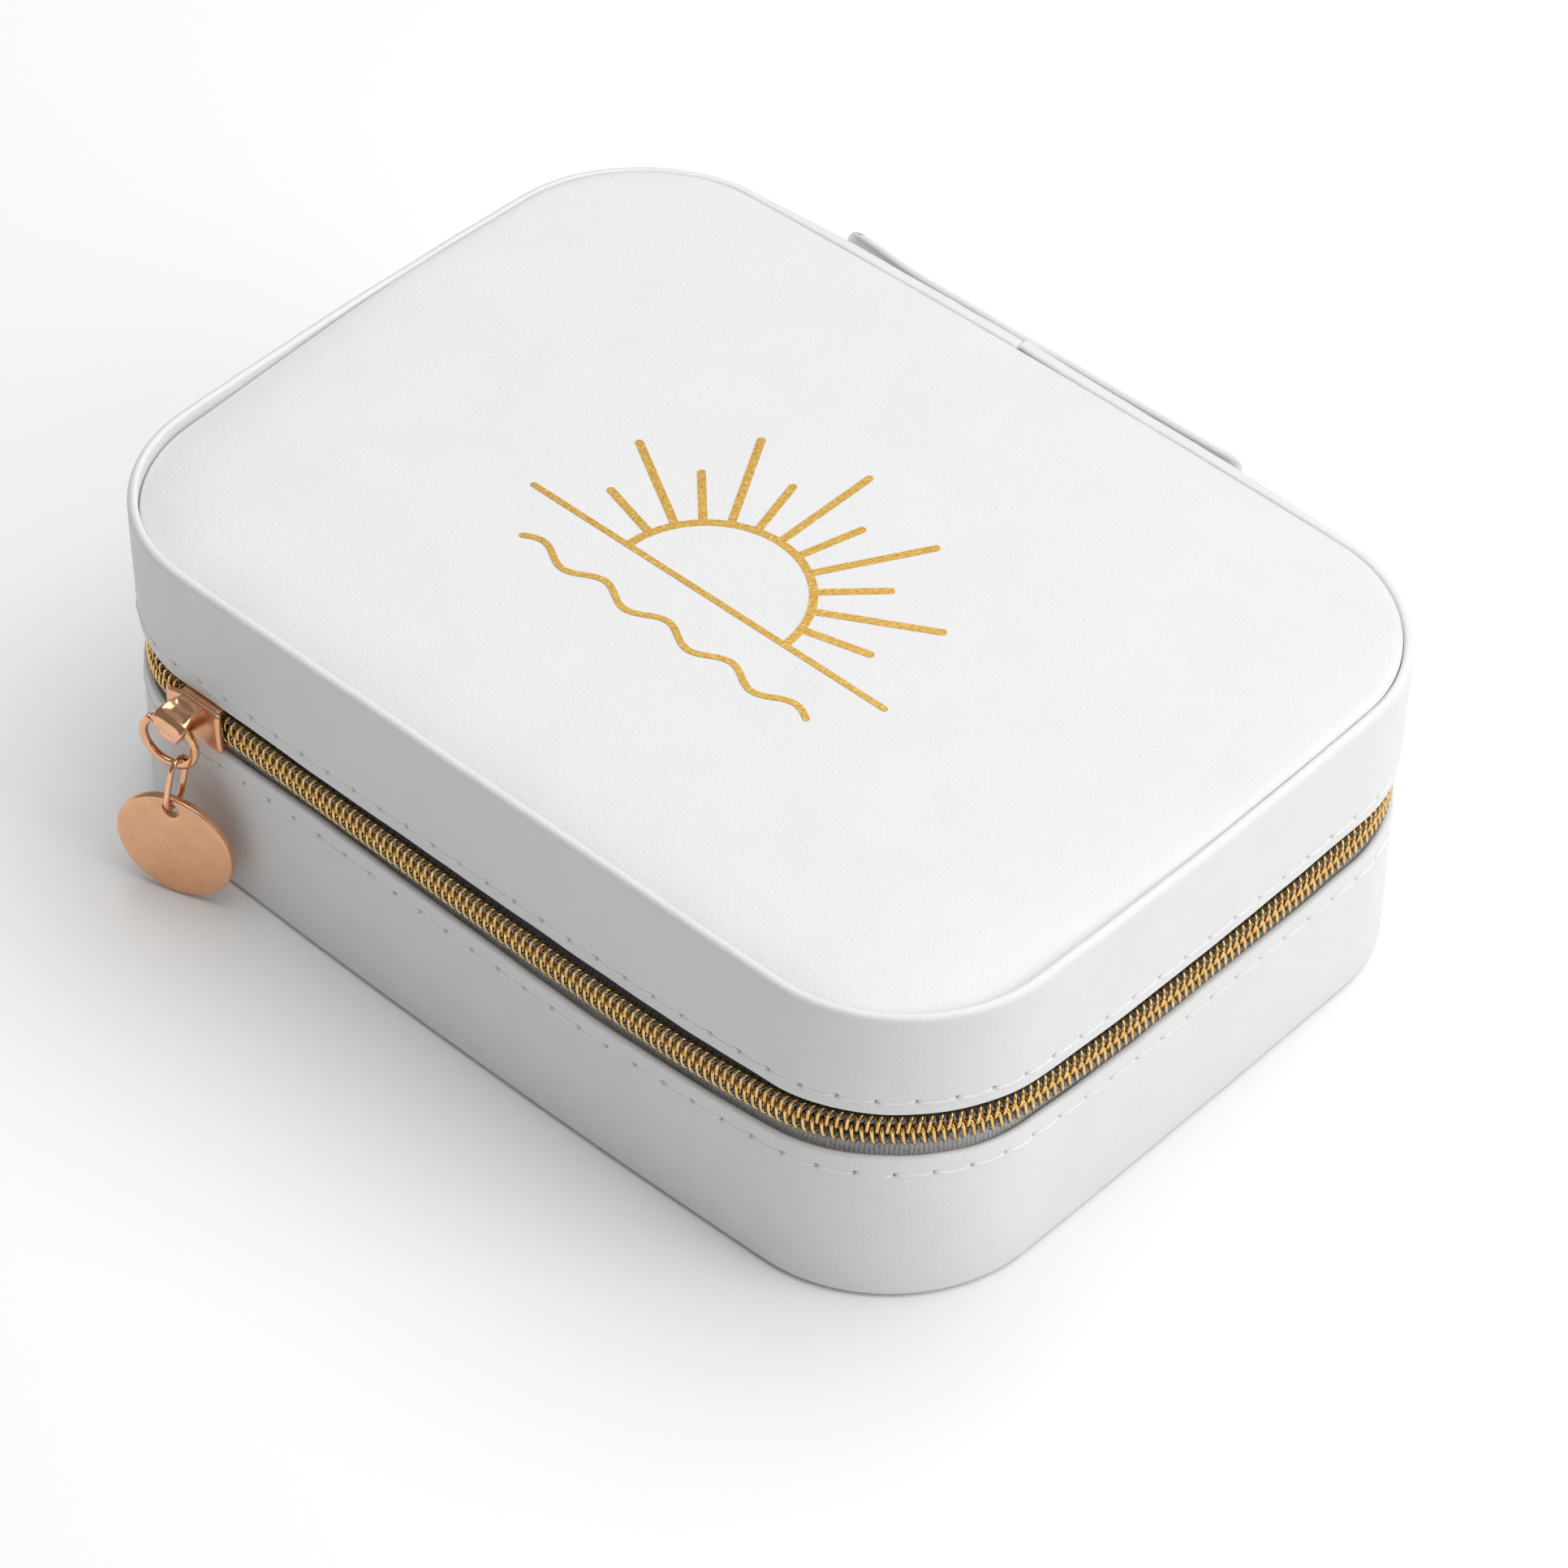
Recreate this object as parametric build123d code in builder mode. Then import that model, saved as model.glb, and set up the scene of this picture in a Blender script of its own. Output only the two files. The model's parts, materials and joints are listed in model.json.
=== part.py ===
from build123d import *
import os
from math import cos, pi, radians, sin

# Zip-round travel jewelry box: padded lid and base joined at the back by a leather patch, closed by a
# coil zipper. Origin: centre of the underside. +X: right along the front. +Y: to the hinge. +Z: up.
# All sizes are in millimetres.

# Driving dimensions of the case
LENGTH = 165.0          # between the straight lines through the ends of the short sides
WIDTH = 119.0
CORNER_R = 24.65
SIDE_BOW = 1.2          # how far the middle of each short side stands out
RIM_Z = 55.3            # top of the lid's rim
PARTING_Z = 30.5        # middle of the zipper

# Heights of the leather hems beside the zipper
BASE_HEM_Z = 25.4
LID_HEM_Z = 34.6

# Lay-up of the walls, measured inwards from the outer face
WRAP_T = 1.0
TAPE_T = 0.6
BOARD_IN = 3.0
LINING_IN = 3.8
LINING_T = LINING_IN - BOARD_IN
TAPE_IN = WRAP_T + TAPE_T
HEM_ROUND = 0.6         # rounding of the folded hems
FOOT_ROUND = 0.8        # rounding of the base's lower edge

# Base
COVER_T = 1.0
FLOOR_BOARD_TOP = 3.0
FLOOR_TOP = FLOOR_BOARD_TOP + LINING_T
BOARD_LIP = 0.2         # the lining stands this much above the board
BASE_BOARD_TOP = BASE_HEM_Z - BOARD_LIP

# Lid
LID_BOARD_RISE = 0.3    # the lid's board starts this much above its hem
LID_BOARD_BOTTOM = LID_HEM_Z + LID_BOARD_RISE
TOP_BOARD_BOTTOM = 50.2
TOP_BOARD_TOP = 52.2
CEILING_Z = TOP_BOARD_BOTTOM - LINING_T
RIM_WIDTH = 1.4
RIM_ROUND = 0.6
COVER_GAP = 0.1         # seam between the rim and the padded top panel
TOP_COVER_Z = 55.9
TOP_COVER_T = 0.9
TOP_COVER_ROUND = 0.6

# Zipper
TAPE_DEPTH = 8.0        # how far each tape reaches behind the leather
COIL_PROUD = 0.3
COIL_HEIGHT = 1.65
COIL_CHANNEL = 1.9      # clear height between the two rows, for the slider's post
COIL_LOW_TOP = PARTING_Z - COIL_CHANNEL / 2
COIL_HIGH_BOTTOM = PARTING_Z + COIL_CHANNEL / 2
ZIP_END_X = 44.0        # the zipper stops here, on each side of the hinge patch
STOP_LENGTH = 3.0
STOP_GAP = 0.1          # the stops end this much before the tapes do

# Hinge patch and its lining
PATCH_CENTRE_X = -5.5
PATCH_WIDTH = 78.0
PATCH_T = 1.5
PATCH_CORNER_R = 6.0
PATCH_LOW_Z = 7.0
PATCH_TOP_Z = 53.7
PATCH_GAP = 4.8         # bare height between each half of the patch and the hinge line
PATCH_FLARE = 2.9       # how far the loose top edge stands off the lid
PATCH_FLARE_Z = 46.0
HINGE_LINING_T = 0.6
HINGE_LINING_DEPTH = 11.0

# Inner fittings
FIT = 0.4               # gap between the fittings and the lining
DIVIDER_T = 2.4
DIVIDER_Z = 22.0
DIVIDER_X = -2.8
CROSS_Y = 18.0
TRAY_T = 0.8
ROLL_COUNT = 6
ROLL_PITCH = 18.2
ROLL_WIDTH = 16.8
ROLL_TOP = 19.0
ROLL_ROUND = 6.0
HOOK_COUNT = 5
HOOK_PITCH = 15.0
HOOK_Y = -40.0
HOOK_R = 0.8
HOOK_DROP = 5.5
HOOK_REACH = 3.5
HOOK_BEND = 1.5
STRIP_LENGTH = 76.0
STRIP_WIDTH = 9.0
STRIP_T = 1.1
POCKET_LENGTH = 104.0
POCKET_Y0 = 8.0
POCKET_Y1 = 50.0
POCKET_DEPTH = 3.6
POCKET_T = 0.8
POCKET_HEM = 2.4        # doubled fabric along the pocket's back edge
POCKET_CORNER_R = 3.2
BAND_WIDTH = 3.0

# Slider, on the front straight of the zipper
SLIDER_X = -54.5
SLIDER_LENGTH = 11.2
SLIDER_GAP = 0.3
SLIDER_PLATE_T = 1.2
SLIDER_FLANGE_T = 0.8
SLIDER_BACK_T = 0.8
SLIDER_BACK_PLAY = 0.1
SLIDER_BACK_LOW = 0.4   # how far the rear plate reaches past the rows, below and above
SLIDER_BACK_HIGH = 0.2
SLIDER_POST_LENGTH = 2.0
SLIDER_POST_INSET = 0.5
SLIDER_NOSE_R = 2.4     # corners at the end that faces the open part of the zipper
SLIDER_TAIL_R = 0.8
BAIL_X = -56.0
BAIL_HALF = 1.9
BAIL_T = 0.8
BAIL_REACH = 5.6
BAIL_ROUND = 1.6
BAIL_FOOT_EXTRA = 0.2   # the foot is this much thicker than the rest
BAIL_FOOT_HALF = 1.1
BAIL_FOOT_TOP = 31.0
BAIL_TOP = 34.1

# Pull: ring, link and disc charm
HANG_GAP = 0.3
CHARM_GAP = 0.5
RING_OUTER = 4.9
RING_INNER = 3.65
RING_T = 0.9
RING_Y = -64.6
LINK_X = -53.9
LINK_WIRE = 0.45
LINK_HALF = 1.85      # from the link's centre line to the middle of the wire
CHARM_R = 9.5
CHARM_T = 1.3
CHARM_ROUND = 0.25
CHARM_TWIST = 19.0      # degrees about the vertical
LINK_TWIST = 11.0
CHARM_HOLE_R = 1.35
CHARM_HOLE_UP = 7.3
CHARM_CENTRE = (LINK_X, -66.9, 9.9)

# Half-sun motif
FOIL_T = 0.08
STROKE = 1.3
STROKE_THIN = 1.0
SUN_Y = -11.5
SUN_R = 15.2
SUN_RAYS = 11
RAY_SHORT = 26.0
RAY_LONG = 34.0
HORIZON_HALF = 34.0
WAVE_Y = -20.3
WAVE_HALF = 27.5
WAVE_HEIGHT = 1.15
WAVE_PERIODS = 4.5

front_y = -WIDTH / 2
back_y = WIDTH / 2
hinge_clear_y = back_y - LINING_IN - HINGE_LINING_T - FIT
coil_bottom_z = COIL_LOW_TOP - COIL_HEIGHT
coil_top_z = COIL_HIGH_BOTTOM + COIL_HEIGHT


def outline(inset):
    """The case's rounded outline moved in by inset, as a flat sketch."""
    x = LENGTH / 2 - inset
    y = WIDTH / 2 - inset
    with BuildSketch() as face:
        with BuildLine():
            Line((-x, -y), (x, -y))
            ThreePointArc((x, -y), (x + SIDE_BOW, 0), (x, y))
            Line((x, y), (-x, y))
            ThreePointArc((-x, y), (-x - SIDE_BOW, 0), (-x, -y))
        make_face()
        fillet(face.vertices(), CORNER_R - inset)
    return face.sketch


def wall(outer, inner, bottom, top):
    """A closed band that follows the outline between two insets and two heights."""
    with BuildPart() as band:
        with BuildSketch(Plane.XY.offset(bottom)):
            add(outline(outer))
            add(outline(inner), mode=Mode.SUBTRACT)
        extrude(amount=top - bottom)
    return band.part


def plate(inset, bottom, top):
    """A sheet with the outline's shape, between two heights."""
    with BuildPart() as sheet:
        with BuildSketch(Plane.XY.offset(bottom)):
            add(outline(inset))
        extrude(amount=top - bottom)
    return sheet.part


def block(x0, x1, y0, y1, z0, z1):
    """A plain box between two corners."""
    with BuildPart() as box:
        with BuildSketch(Plane.XY.offset(z0)):
            with Locations(((x0 + x1) / 2, (y0 + y1) / 2)):
                Rectangle(x1 - x0, y1 - y0)
        extrude(amount=z1 - z0)
    return box.part


def save(piece, name):
    """Labels a finished piece and writes it to its own file."""
    piece.label = name
    export_step(piece, f"parts/{name}.step")


def back_opening(low, high):
    """The stretch of the back wall where there is no zipper."""
    return block(-ZIP_END_X, ZIP_END_X, WIDTH / 4, WIDTH, low, high)


# Base shell -----------------------------------------------------------------------------------------

def make_base_wrap():
    """Leather skin round the side of the base."""
    with BuildPart() as base_wrap:
        add(wall(0, WRAP_T, 0, BASE_HEM_Z))
        fillet(base_wrap.faces().sort_by(Axis.Z)[0].outer_wire().edges(), FOOT_ROUND)
        fillet(base_wrap.faces().sort_by(Axis.Z)[-1].outer_wire().edges(), HEM_ROUND)
    save(base_wrap.part, "base_wrap")


def make_base_wall_board():
    """Stiff board behind the skin, rebated at the top for the zipper tape."""
    rebate_z = BASE_HEM_Z - TAPE_DEPTH
    with BuildPart() as base_wall_board:
        add(wall(WRAP_T, BOARD_IN, COVER_T, BASE_BOARD_TOP))
        add(wall(WRAP_T, TAPE_IN, rebate_z, BASE_BOARD_TOP), mode=Mode.SUBTRACT)
    save(base_wall_board.part, "base_wall_board")


def make_base_floor():
    """Floor board, the leather under it and the lining on it."""
    with BuildPart() as base_floor_board:
        add(plate(BOARD_IN, COVER_T, FLOOR_BOARD_TOP))
    save(base_floor_board.part, "base_floor_board")
    with BuildPart() as base_bottom_cover:
        add(plate(WRAP_T, 0, COVER_T))
    save(base_bottom_cover.part, "base_bottom_cover")
    with BuildPart() as base_lining_floor:
        add(plate(BOARD_IN, FLOOR_BOARD_TOP, FLOOR_TOP))
    save(base_lining_floor.part, "base_lining_floor")


def make_base_lining_wall():
    """Fabric lining on the inside of the base wall."""
    with BuildPart() as base_lining_wall:
        add(wall(BOARD_IN, LINING_IN, FLOOR_TOP, BASE_BOARD_TOP + BOARD_LIP))
    save(base_lining_wall.part, "base_lining_wall")


# Lid shell ------------------------------------------------------------------------------------------

def make_lid_wrap():
    """Leather skin round the side of the lid, with the raised rim that frames the top panel."""
    with BuildPart() as lid_wrap:
        add(wall(0, WRAP_T, LID_HEM_Z, RIM_Z))
        add(wall(0, RIM_WIDTH, TOP_BOARD_TOP, RIM_Z))
        top = lid_wrap.faces().sort_by(Axis.Z)[-1]
        fillet(top.edges(), RIM_ROUND)
        bottom = lid_wrap.faces().sort_by(Axis.Z)[0]
        fillet(bottom.outer_wire().edges(), HEM_ROUND)
    save(lid_wrap.part, "lid_wrap")


def make_lid_wall_board():
    """Stiff board behind the lid's skin, rebated at the bottom for the zipper tape."""
    rebate_z = LID_HEM_Z + TAPE_DEPTH
    with BuildPart() as lid_wall_board:
        add(wall(WRAP_T, BOARD_IN, LID_BOARD_BOTTOM, TOP_BOARD_TOP))
        add(wall(WRAP_T, TAPE_IN, LID_BOARD_BOTTOM, rebate_z), mode=Mode.SUBTRACT)
    save(lid_wall_board.part, "lid_wall_board")


def make_lid_top():
    """Top board, foam pad and the padded leather panel over it."""
    panel_inset = RIM_WIDTH + COVER_GAP
    with BuildPart() as lid_top_board:
        add(plate(BOARD_IN, TOP_BOARD_BOTTOM, TOP_BOARD_TOP))
    save(lid_top_board.part, "lid_top_board")
    with BuildPart() as lid_top_cover:
        add(plate(panel_inset, TOP_COVER_Z - TOP_COVER_T, TOP_COVER_Z))
        fillet(lid_top_cover.faces().sort_by(Axis.Z)[-1].edges(), TOP_COVER_ROUND)
    save(lid_top_cover.part, "lid_top_cover")
    with BuildPart() as lid_foam_pad:
        add(plate(panel_inset, TOP_BOARD_TOP, TOP_COVER_Z - TOP_COVER_T))
    save(lid_foam_pad.part, "lid_foam_pad")


def make_lid_lining():
    """Fabric lining on the lid's wall and ceiling."""
    with BuildPart() as lid_lining_wall:
        add(wall(BOARD_IN, LINING_IN, LID_BOARD_BOTTOM - BOARD_LIP, CEILING_Z))
    save(lid_lining_wall.part, "lid_lining_wall")
    with BuildPart() as lid_lining_top:
        add(plate(BOARD_IN, CEILING_Z, TOP_BOARD_BOTTOM))
    save(lid_lining_top.part, "lid_lining_top")


def make_sun_foil():
    """Foil motif on the panel: horizon, half sun with long and short rays, and a wave below."""
    wave_points = 37
    steps = [i / (wave_points - 1) for i in range(wave_points)]
    wave = [
        (WAVE_HALF * (2 * s - 1), WAVE_Y + WAVE_HEIGHT * sin(2 * pi * WAVE_PERIODS * s))
        for s in steps
    ]
    horizon = [(-HORIZON_HALF, SUN_Y), (HORIZON_HALF, SUN_Y)]
    ray_tips = []
    with BuildPart() as sun_foil:
        with BuildSketch(Plane.XY.offset(TOP_COVER_Z)):
            with BuildLine():
                Line(*horizon)
            trace(line_width=STROKE_THIN)
            with BuildLine():
                CenterArc((0, SUN_Y), SUN_R, 0, 180)
            trace(line_width=STROKE)
            for ray in range(SUN_RAYS):
                angle = radians(180 * (ray + 1) / (SUN_RAYS + 1))
                reach = RAY_LONG if ray % 2 else RAY_SHORT
                tip = (reach * cos(angle), SUN_Y + reach * sin(angle))
                with BuildLine():
                    Line((SUN_R * cos(angle), SUN_Y + SUN_R * sin(angle)), tip)
                trace(line_width=STROKE)
                ray_tips.append(tip)
            with Locations(*horizon):
                Circle(STROKE_THIN / 2)
            with Locations(*ray_tips):
                Circle(STROKE / 2)
        extrude(amount=FOIL_T)
        with BuildSketch(Plane.XY.offset(TOP_COVER_Z)):
            with BuildLine():
                Spline(*wave)
            trace(line_width=STROKE_THIN)
            with Locations(wave[0], wave[-1]):
                Circle(STROKE_THIN / 2)
        extrude(amount=FOIL_T)
    save(sun_foil.part, "sun_foil")


# Zipper ---------------------------------------------------------------------------------------------

def make_tapes():
    """Woven tapes, held between skin and board."""
    with BuildPart() as zipper_tape_lower:
        add(wall(WRAP_T, TAPE_IN, BASE_HEM_Z - TAPE_DEPTH, COIL_LOW_TOP))
        add(back_opening(0, RIM_Z), mode=Mode.SUBTRACT)
    save(zipper_tape_lower.part, "zipper_tape_lower")
    with BuildPart() as zipper_tape_upper:
        add(wall(WRAP_T, TAPE_IN, COIL_HIGH_BOTTOM, LID_HEM_Z + TAPE_DEPTH))
        add(back_opening(0, RIM_Z), mode=Mode.SUBTRACT)
    save(zipper_tape_upper.part, "zipper_tape_upper")


def make_coils():
    """The two coil rows as plain bands; the upper one leaves room for the slider at its parked place."""
    slider_half = SLIDER_LENGTH / 2 + 2 * SLIDER_GAP
    with BuildPart() as zipper_coil_lower:
        add(wall(-COIL_PROUD, WRAP_T, coil_bottom_z, COIL_LOW_TOP))
        add(back_opening(0, RIM_Z), mode=Mode.SUBTRACT)
    save(zipper_coil_lower.part, "zipper_coil_lower")
    with BuildPart() as zipper_coil_upper:
        add(wall(-COIL_PROUD, WRAP_T, COIL_HIGH_BOTTOM, coil_top_z))
        add(back_opening(0, RIM_Z), mode=Mode.SUBTRACT)
        add(
            block(SLIDER_X - slider_half, SLIDER_X + slider_half, -WIDTH, -WIDTH / 4, 0, RIM_Z),
            mode=Mode.SUBTRACT,
        )
    save(zipper_coil_upper.part, "zipper_coil_upper")


def make_stops():
    """Clamped end stops, one at each end of each row, where the zipper ends beside the hinge patch."""
    rows = {
        "zipper_stops_lower": (coil_bottom_z, COIL_LOW_TOP),
        "zipper_stops_upper": (COIL_HIGH_BOTTOM, coil_top_z),
    }
    for name, (low, high) in rows.items():
        with BuildPart() as stops:
            for side in (-1, 1):
                inner = side * (ZIP_END_X - STOP_LENGTH)
                outer = side * (ZIP_END_X - STOP_GAP)
                add(block(
                    min(inner, outer), max(inner, outer), back_y - WRAP_T, back_y + COIL_PROUD, low, high
                ))
        save(stops.part, name)


# Hinge at the back ----------------------------------------------------------------------------------

def make_hinge_patch():
    """Leather patch over the hinge line, in two halves; the top edge of the upper half stands loose."""
    x_start = PATCH_CENTRE_X - PATCH_WIDTH / 2
    upper_z = PARTING_Z + PATCH_GAP
    with BuildPart() as hinge_patch_lower:
        add(block(
            x_start, x_start + PATCH_WIDTH, back_y, back_y + PATCH_T, PATCH_LOW_Z, PARTING_Z - PATCH_GAP
        ))
        fillet(hinge_patch_lower.edges().filter_by(Axis.Y).group_by(Axis.Z)[0], PATCH_CORNER_R)
    save(hinge_patch_lower.part, "hinge_patch_lower")
    with BuildPart() as hinge_patch_upper:
        with BuildSketch(Plane.YZ.offset(x_start)):
            with BuildLine():
                Polyline(
                    (back_y, upper_z),
                    (back_y + PATCH_T, upper_z),
                    (back_y + PATCH_T, PATCH_FLARE_Z),
                    (back_y + PATCH_T + PATCH_FLARE, PATCH_TOP_Z),
                    (back_y + PATCH_FLARE, PATCH_TOP_Z),
                    (back_y, PATCH_FLARE_Z),
                    close=True,
                )
            make_face()
        extrude(amount=PATCH_WIDTH)
    save(hinge_patch_upper.part, "hinge_patch_upper")


def make_hinge_lining():
    """Fabric strips that carry the lining across the hinge on the inside."""
    x_start = PATCH_CENTRE_X - PATCH_WIDTH / 2
    y_out = back_y - LINING_IN
    low_top = BASE_BOARD_TOP
    high_bottom = LID_BOARD_BOTTOM
    with BuildPart() as hinge_lining_lower:
        add(block(
            x_start, x_start + PATCH_WIDTH, y_out - HINGE_LINING_T, y_out,
            low_top - HINGE_LINING_DEPTH, low_top,
        ))
    save(hinge_lining_lower.part, "hinge_lining_lower")
    with BuildPart() as hinge_lining_upper:
        add(block(
            x_start, x_start + PATCH_WIDTH, y_out - HINGE_LINING_T, y_out,
            high_bottom, high_bottom + HINGE_LINING_DEPTH,
        ))
    save(hinge_lining_upper.part, "hinge_lining_upper")


# Fittings in the base -------------------------------------------------------------------------------

def fitted(piece, low, high):
    """A fitting cut to the rounded inside of the case."""
    with BuildPart() as cut:
        add(piece)
        add(plate(LINING_IN + FIT, low, high), mode=Mode.INTERSECT)
    return cut.part


def make_dividers():
    """Long divider between rings and compartments, and two lift-out cross dividers."""
    half_width = WIDTH / 2
    half_length = LENGTH / 2
    with BuildPart() as divider_long:
        add(fitted(
            block(
                DIVIDER_X - DIVIDER_T / 2, DIVIDER_X + DIVIDER_T / 2, -half_width, hinge_clear_y,
                FLOOR_TOP, DIVIDER_Z,
            ),
            FLOOR_TOP, DIVIDER_Z,
        ))
    save(divider_long.part, "divider_long")
    for number, y_mid in enumerate((-CROSS_Y, CROSS_Y), start=1):
        with BuildPart() as divider_cross:
            add(fitted(
                block(
                    DIVIDER_X + DIVIDER_T / 2, half_length, y_mid - DIVIDER_T / 2, y_mid + DIVIDER_T / 2,
                    FLOOR_TOP, DIVIDER_Z,
                ),
                FLOOR_TOP, DIVIDER_Z,
            ))
        save(divider_cross.part, f"divider_cross_{number}")


def make_ring_rolls():
    """Tray board with a row of soft rolls that grip rings between them."""
    x_end = DIVIDER_X - DIVIDER_T / 2 - FIT
    x_start = -LENGTH / 2
    tray_top = FLOOR_TOP + TRAY_T
    with BuildPart() as ring_tray:
        add(fitted(
            block(x_start, x_end, -WIDTH / 2, hinge_clear_y, FLOOR_TOP, tray_top),
            FLOOR_TOP, tray_top,
        ))
    save(ring_tray.part, "ring_tray")
    for index in range(ROLL_COUNT):
        y_mid = (index - (ROLL_COUNT - 1) / 2) * ROLL_PITCH
        with BuildPart() as roll:
            with BuildSketch(Plane.YZ.offset(x_start)):
                with Locations((y_mid, (tray_top + ROLL_TOP) / 2)):
                    section = Rectangle(ROLL_WIDTH, ROLL_TOP - tray_top)
                fillet(section.vertices().group_by(Axis.Z)[-1], ROLL_ROUND)
            extrude(amount=x_end - x_start)
        with BuildPart() as ring_roll:
            add(fitted(roll.part, tray_top, ROLL_TOP))
        save(ring_roll.part, f"ring_roll_{index + 1}")


# Fittings in the lid --------------------------------------------------------------------------------

def make_hooks():
    """Leather strip with a row of bent wire hooks for necklaces."""
    strip_z = CEILING_Z - STRIP_T
    bend_z = strip_z - HOOK_DROP
    with BuildPart() as hook_strip:
        add(block(
            -STRIP_LENGTH / 2, STRIP_LENGTH / 2, HOOK_Y - STRIP_WIDTH / 2, HOOK_Y + STRIP_WIDTH / 2,
            strip_z, CEILING_Z,
        ))
        fillet(hook_strip.edges().filter_by(Axis.Z), STRIP_WIDTH / 3)
    save(hook_strip.part, "hook_strip")
    with BuildPart() as necklace_hooks:
        for index in range(HOOK_COUNT):
            x_mid = (index - (HOOK_COUNT - 1) / 2) * HOOK_PITCH
            with BuildLine(Plane.YZ.offset(x_mid)) as path:
                FilletPolyline(
                    (HOOK_Y, strip_z), (HOOK_Y, bend_z), (HOOK_Y - HOOK_REACH, bend_z), radius=HOOK_BEND
                )
            with BuildSketch(Plane(origin=path.line @ 0, z_dir=path.line % 0)):
                Circle(HOOK_R)
            sweep(path=path.line)
    save(necklace_hooks.part, "necklace_hooks")


def make_pocket():
    """Flat elastic-topped pocket in the lid, open along its front edge, and its elastic band."""
    half_length = POCKET_LENGTH / 2
    face_z = CEILING_Z - POCKET_DEPTH
    with BuildPart() as elastic_pocket:
        add(block(-half_length, half_length, POCKET_Y0, POCKET_Y1, face_z, CEILING_Z))
        fillet(elastic_pocket.edges().filter_by(Axis.Z).group_by(Axis.Y)[-1], POCKET_CORNER_R)
        add(
            block(
                -half_length + POCKET_T, half_length - POCKET_T, POCKET_Y0, POCKET_Y1 - POCKET_HEM,
                face_z + POCKET_T, CEILING_Z,
            ),
            mode=Mode.SUBTRACT,
        )
    save(elastic_pocket.part, "elastic_pocket")
    with BuildPart() as pocket_band:
        add(block(
            -half_length, half_length, POCKET_Y0 - BAND_WIDTH, POCKET_Y0,
            face_z - POCKET_T / 2, face_z + POCKET_T,
        ))
    save(pocket_band.part, "pocket_band")


# Slider and pull ------------------------------------------------------------------------------------

plate_back = front_y - COIL_PROUD - SLIDER_GAP
plate_front = plate_back - SLIDER_PLATE_T
ring_z = BAIL_FOOT_TOP + HANG_GAP - RING_INNER


def make_slider():
    """Zipper slider: front plate with flanges, rear plate behind the tape, post between the rows."""
    x0 = SLIDER_X - SLIDER_LENGTH / 2
    x1 = SLIDER_X + SLIDER_LENGTH / 2
    flange_back = front_y + WRAP_T - SLIDER_GAP
    rear_front = front_y + TAPE_IN + SLIDER_GAP + SLIDER_BACK_PLAY
    rear_back = rear_front + SLIDER_BACK_T
    top_in = coil_top_z + SLIDER_GAP
    low_in = coil_bottom_z - SLIDER_GAP
    post_half = COIL_CHANNEL / 2 - SLIDER_GAP
    post_x = x0 + SLIDER_POST_INSET
    flange_x0 = x0 + SLIDER_NOSE_R
    flange_x1 = x1 - SLIDER_TAIL_R
    with BuildPart() as slider_body:
        add(block(x0, x1, plate_front, plate_back, low_in - SLIDER_FLANGE_T, top_in + SLIDER_FLANGE_T))
        fillet(slider_body.edges().filter_by(Axis.Y).group_by(Axis.X)[0], SLIDER_NOSE_R)
        fillet(slider_body.edges().filter_by(Axis.Y).group_by(Axis.X)[-1], SLIDER_TAIL_R)
        add(block(flange_x0, flange_x1, plate_back, flange_back, top_in, top_in + SLIDER_FLANGE_T))
        add(block(flange_x0, flange_x1, plate_back, flange_back, low_in - SLIDER_FLANGE_T, low_in))
        add(block(
            post_x, post_x + SLIDER_POST_LENGTH, plate_back, rear_front,
            PARTING_Z - post_half, PARTING_Z + post_half,
        ))
        add(block(
            x0 + SLIDER_POST_INSET, flange_x1, rear_front, rear_back,
            low_in - SLIDER_BACK_LOW, top_in + SLIDER_BACK_HIGH,
        ))
    save(slider_body.part, "slider_body")


def make_bail():
    """Loop on the slider's face that the ring hangs in; its narrow lower leg passes inside the ring."""
    reach_y = plate_front - BAIL_REACH
    low_z = BAIL_FOOT_TOP - BAIL_T - BAIL_FOOT_EXTRA
    with BuildPart() as slider_bail:
        add(block(BAIL_X - BAIL_HALF, BAIL_X + BAIL_HALF, reach_y, plate_front, low_z, BAIL_TOP))
        fillet(slider_bail.edges().filter_by(Axis.X).group_by(Axis.Y)[0], BAIL_ROUND)
        add(
            block(
                BAIL_X - 2 * BAIL_HALF, BAIL_X + 2 * BAIL_HALF, reach_y + BAIL_T, plate_front,
                BAIL_FOOT_TOP, BAIL_TOP - BAIL_T,
            ),
            mode=Mode.SUBTRACT,
        )
        for side in (-1, 1):
            inner = BAIL_X + side * BAIL_FOOT_HALF
            outer = BAIL_X + side * 2 * BAIL_HALF
            add(
                block(
                    min(inner, outer), max(inner, outer), reach_y - BAIL_T, plate_front,
                    low_z - BAIL_T, BAIL_FOOT_TOP + BAIL_FOOT_EXTRA,
                ),
                mode=Mode.SUBTRACT,
            )
    save(slider_bail.part, "slider_bail")


def make_ring():
    """Flat split ring that hangs in the bail, parallel to the front wall."""
    with BuildPart() as pull_ring:
        with BuildSketch(Plane.XZ.offset(-RING_Y - RING_T / 2)):
            with Locations((BAIL_X, ring_z)):
                Circle(RING_OUTER)
                Circle(RING_INNER, mode=Mode.SUBTRACT)
        extrude(amount=RING_T)
    save(pull_ring.part, "pull_ring")


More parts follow.
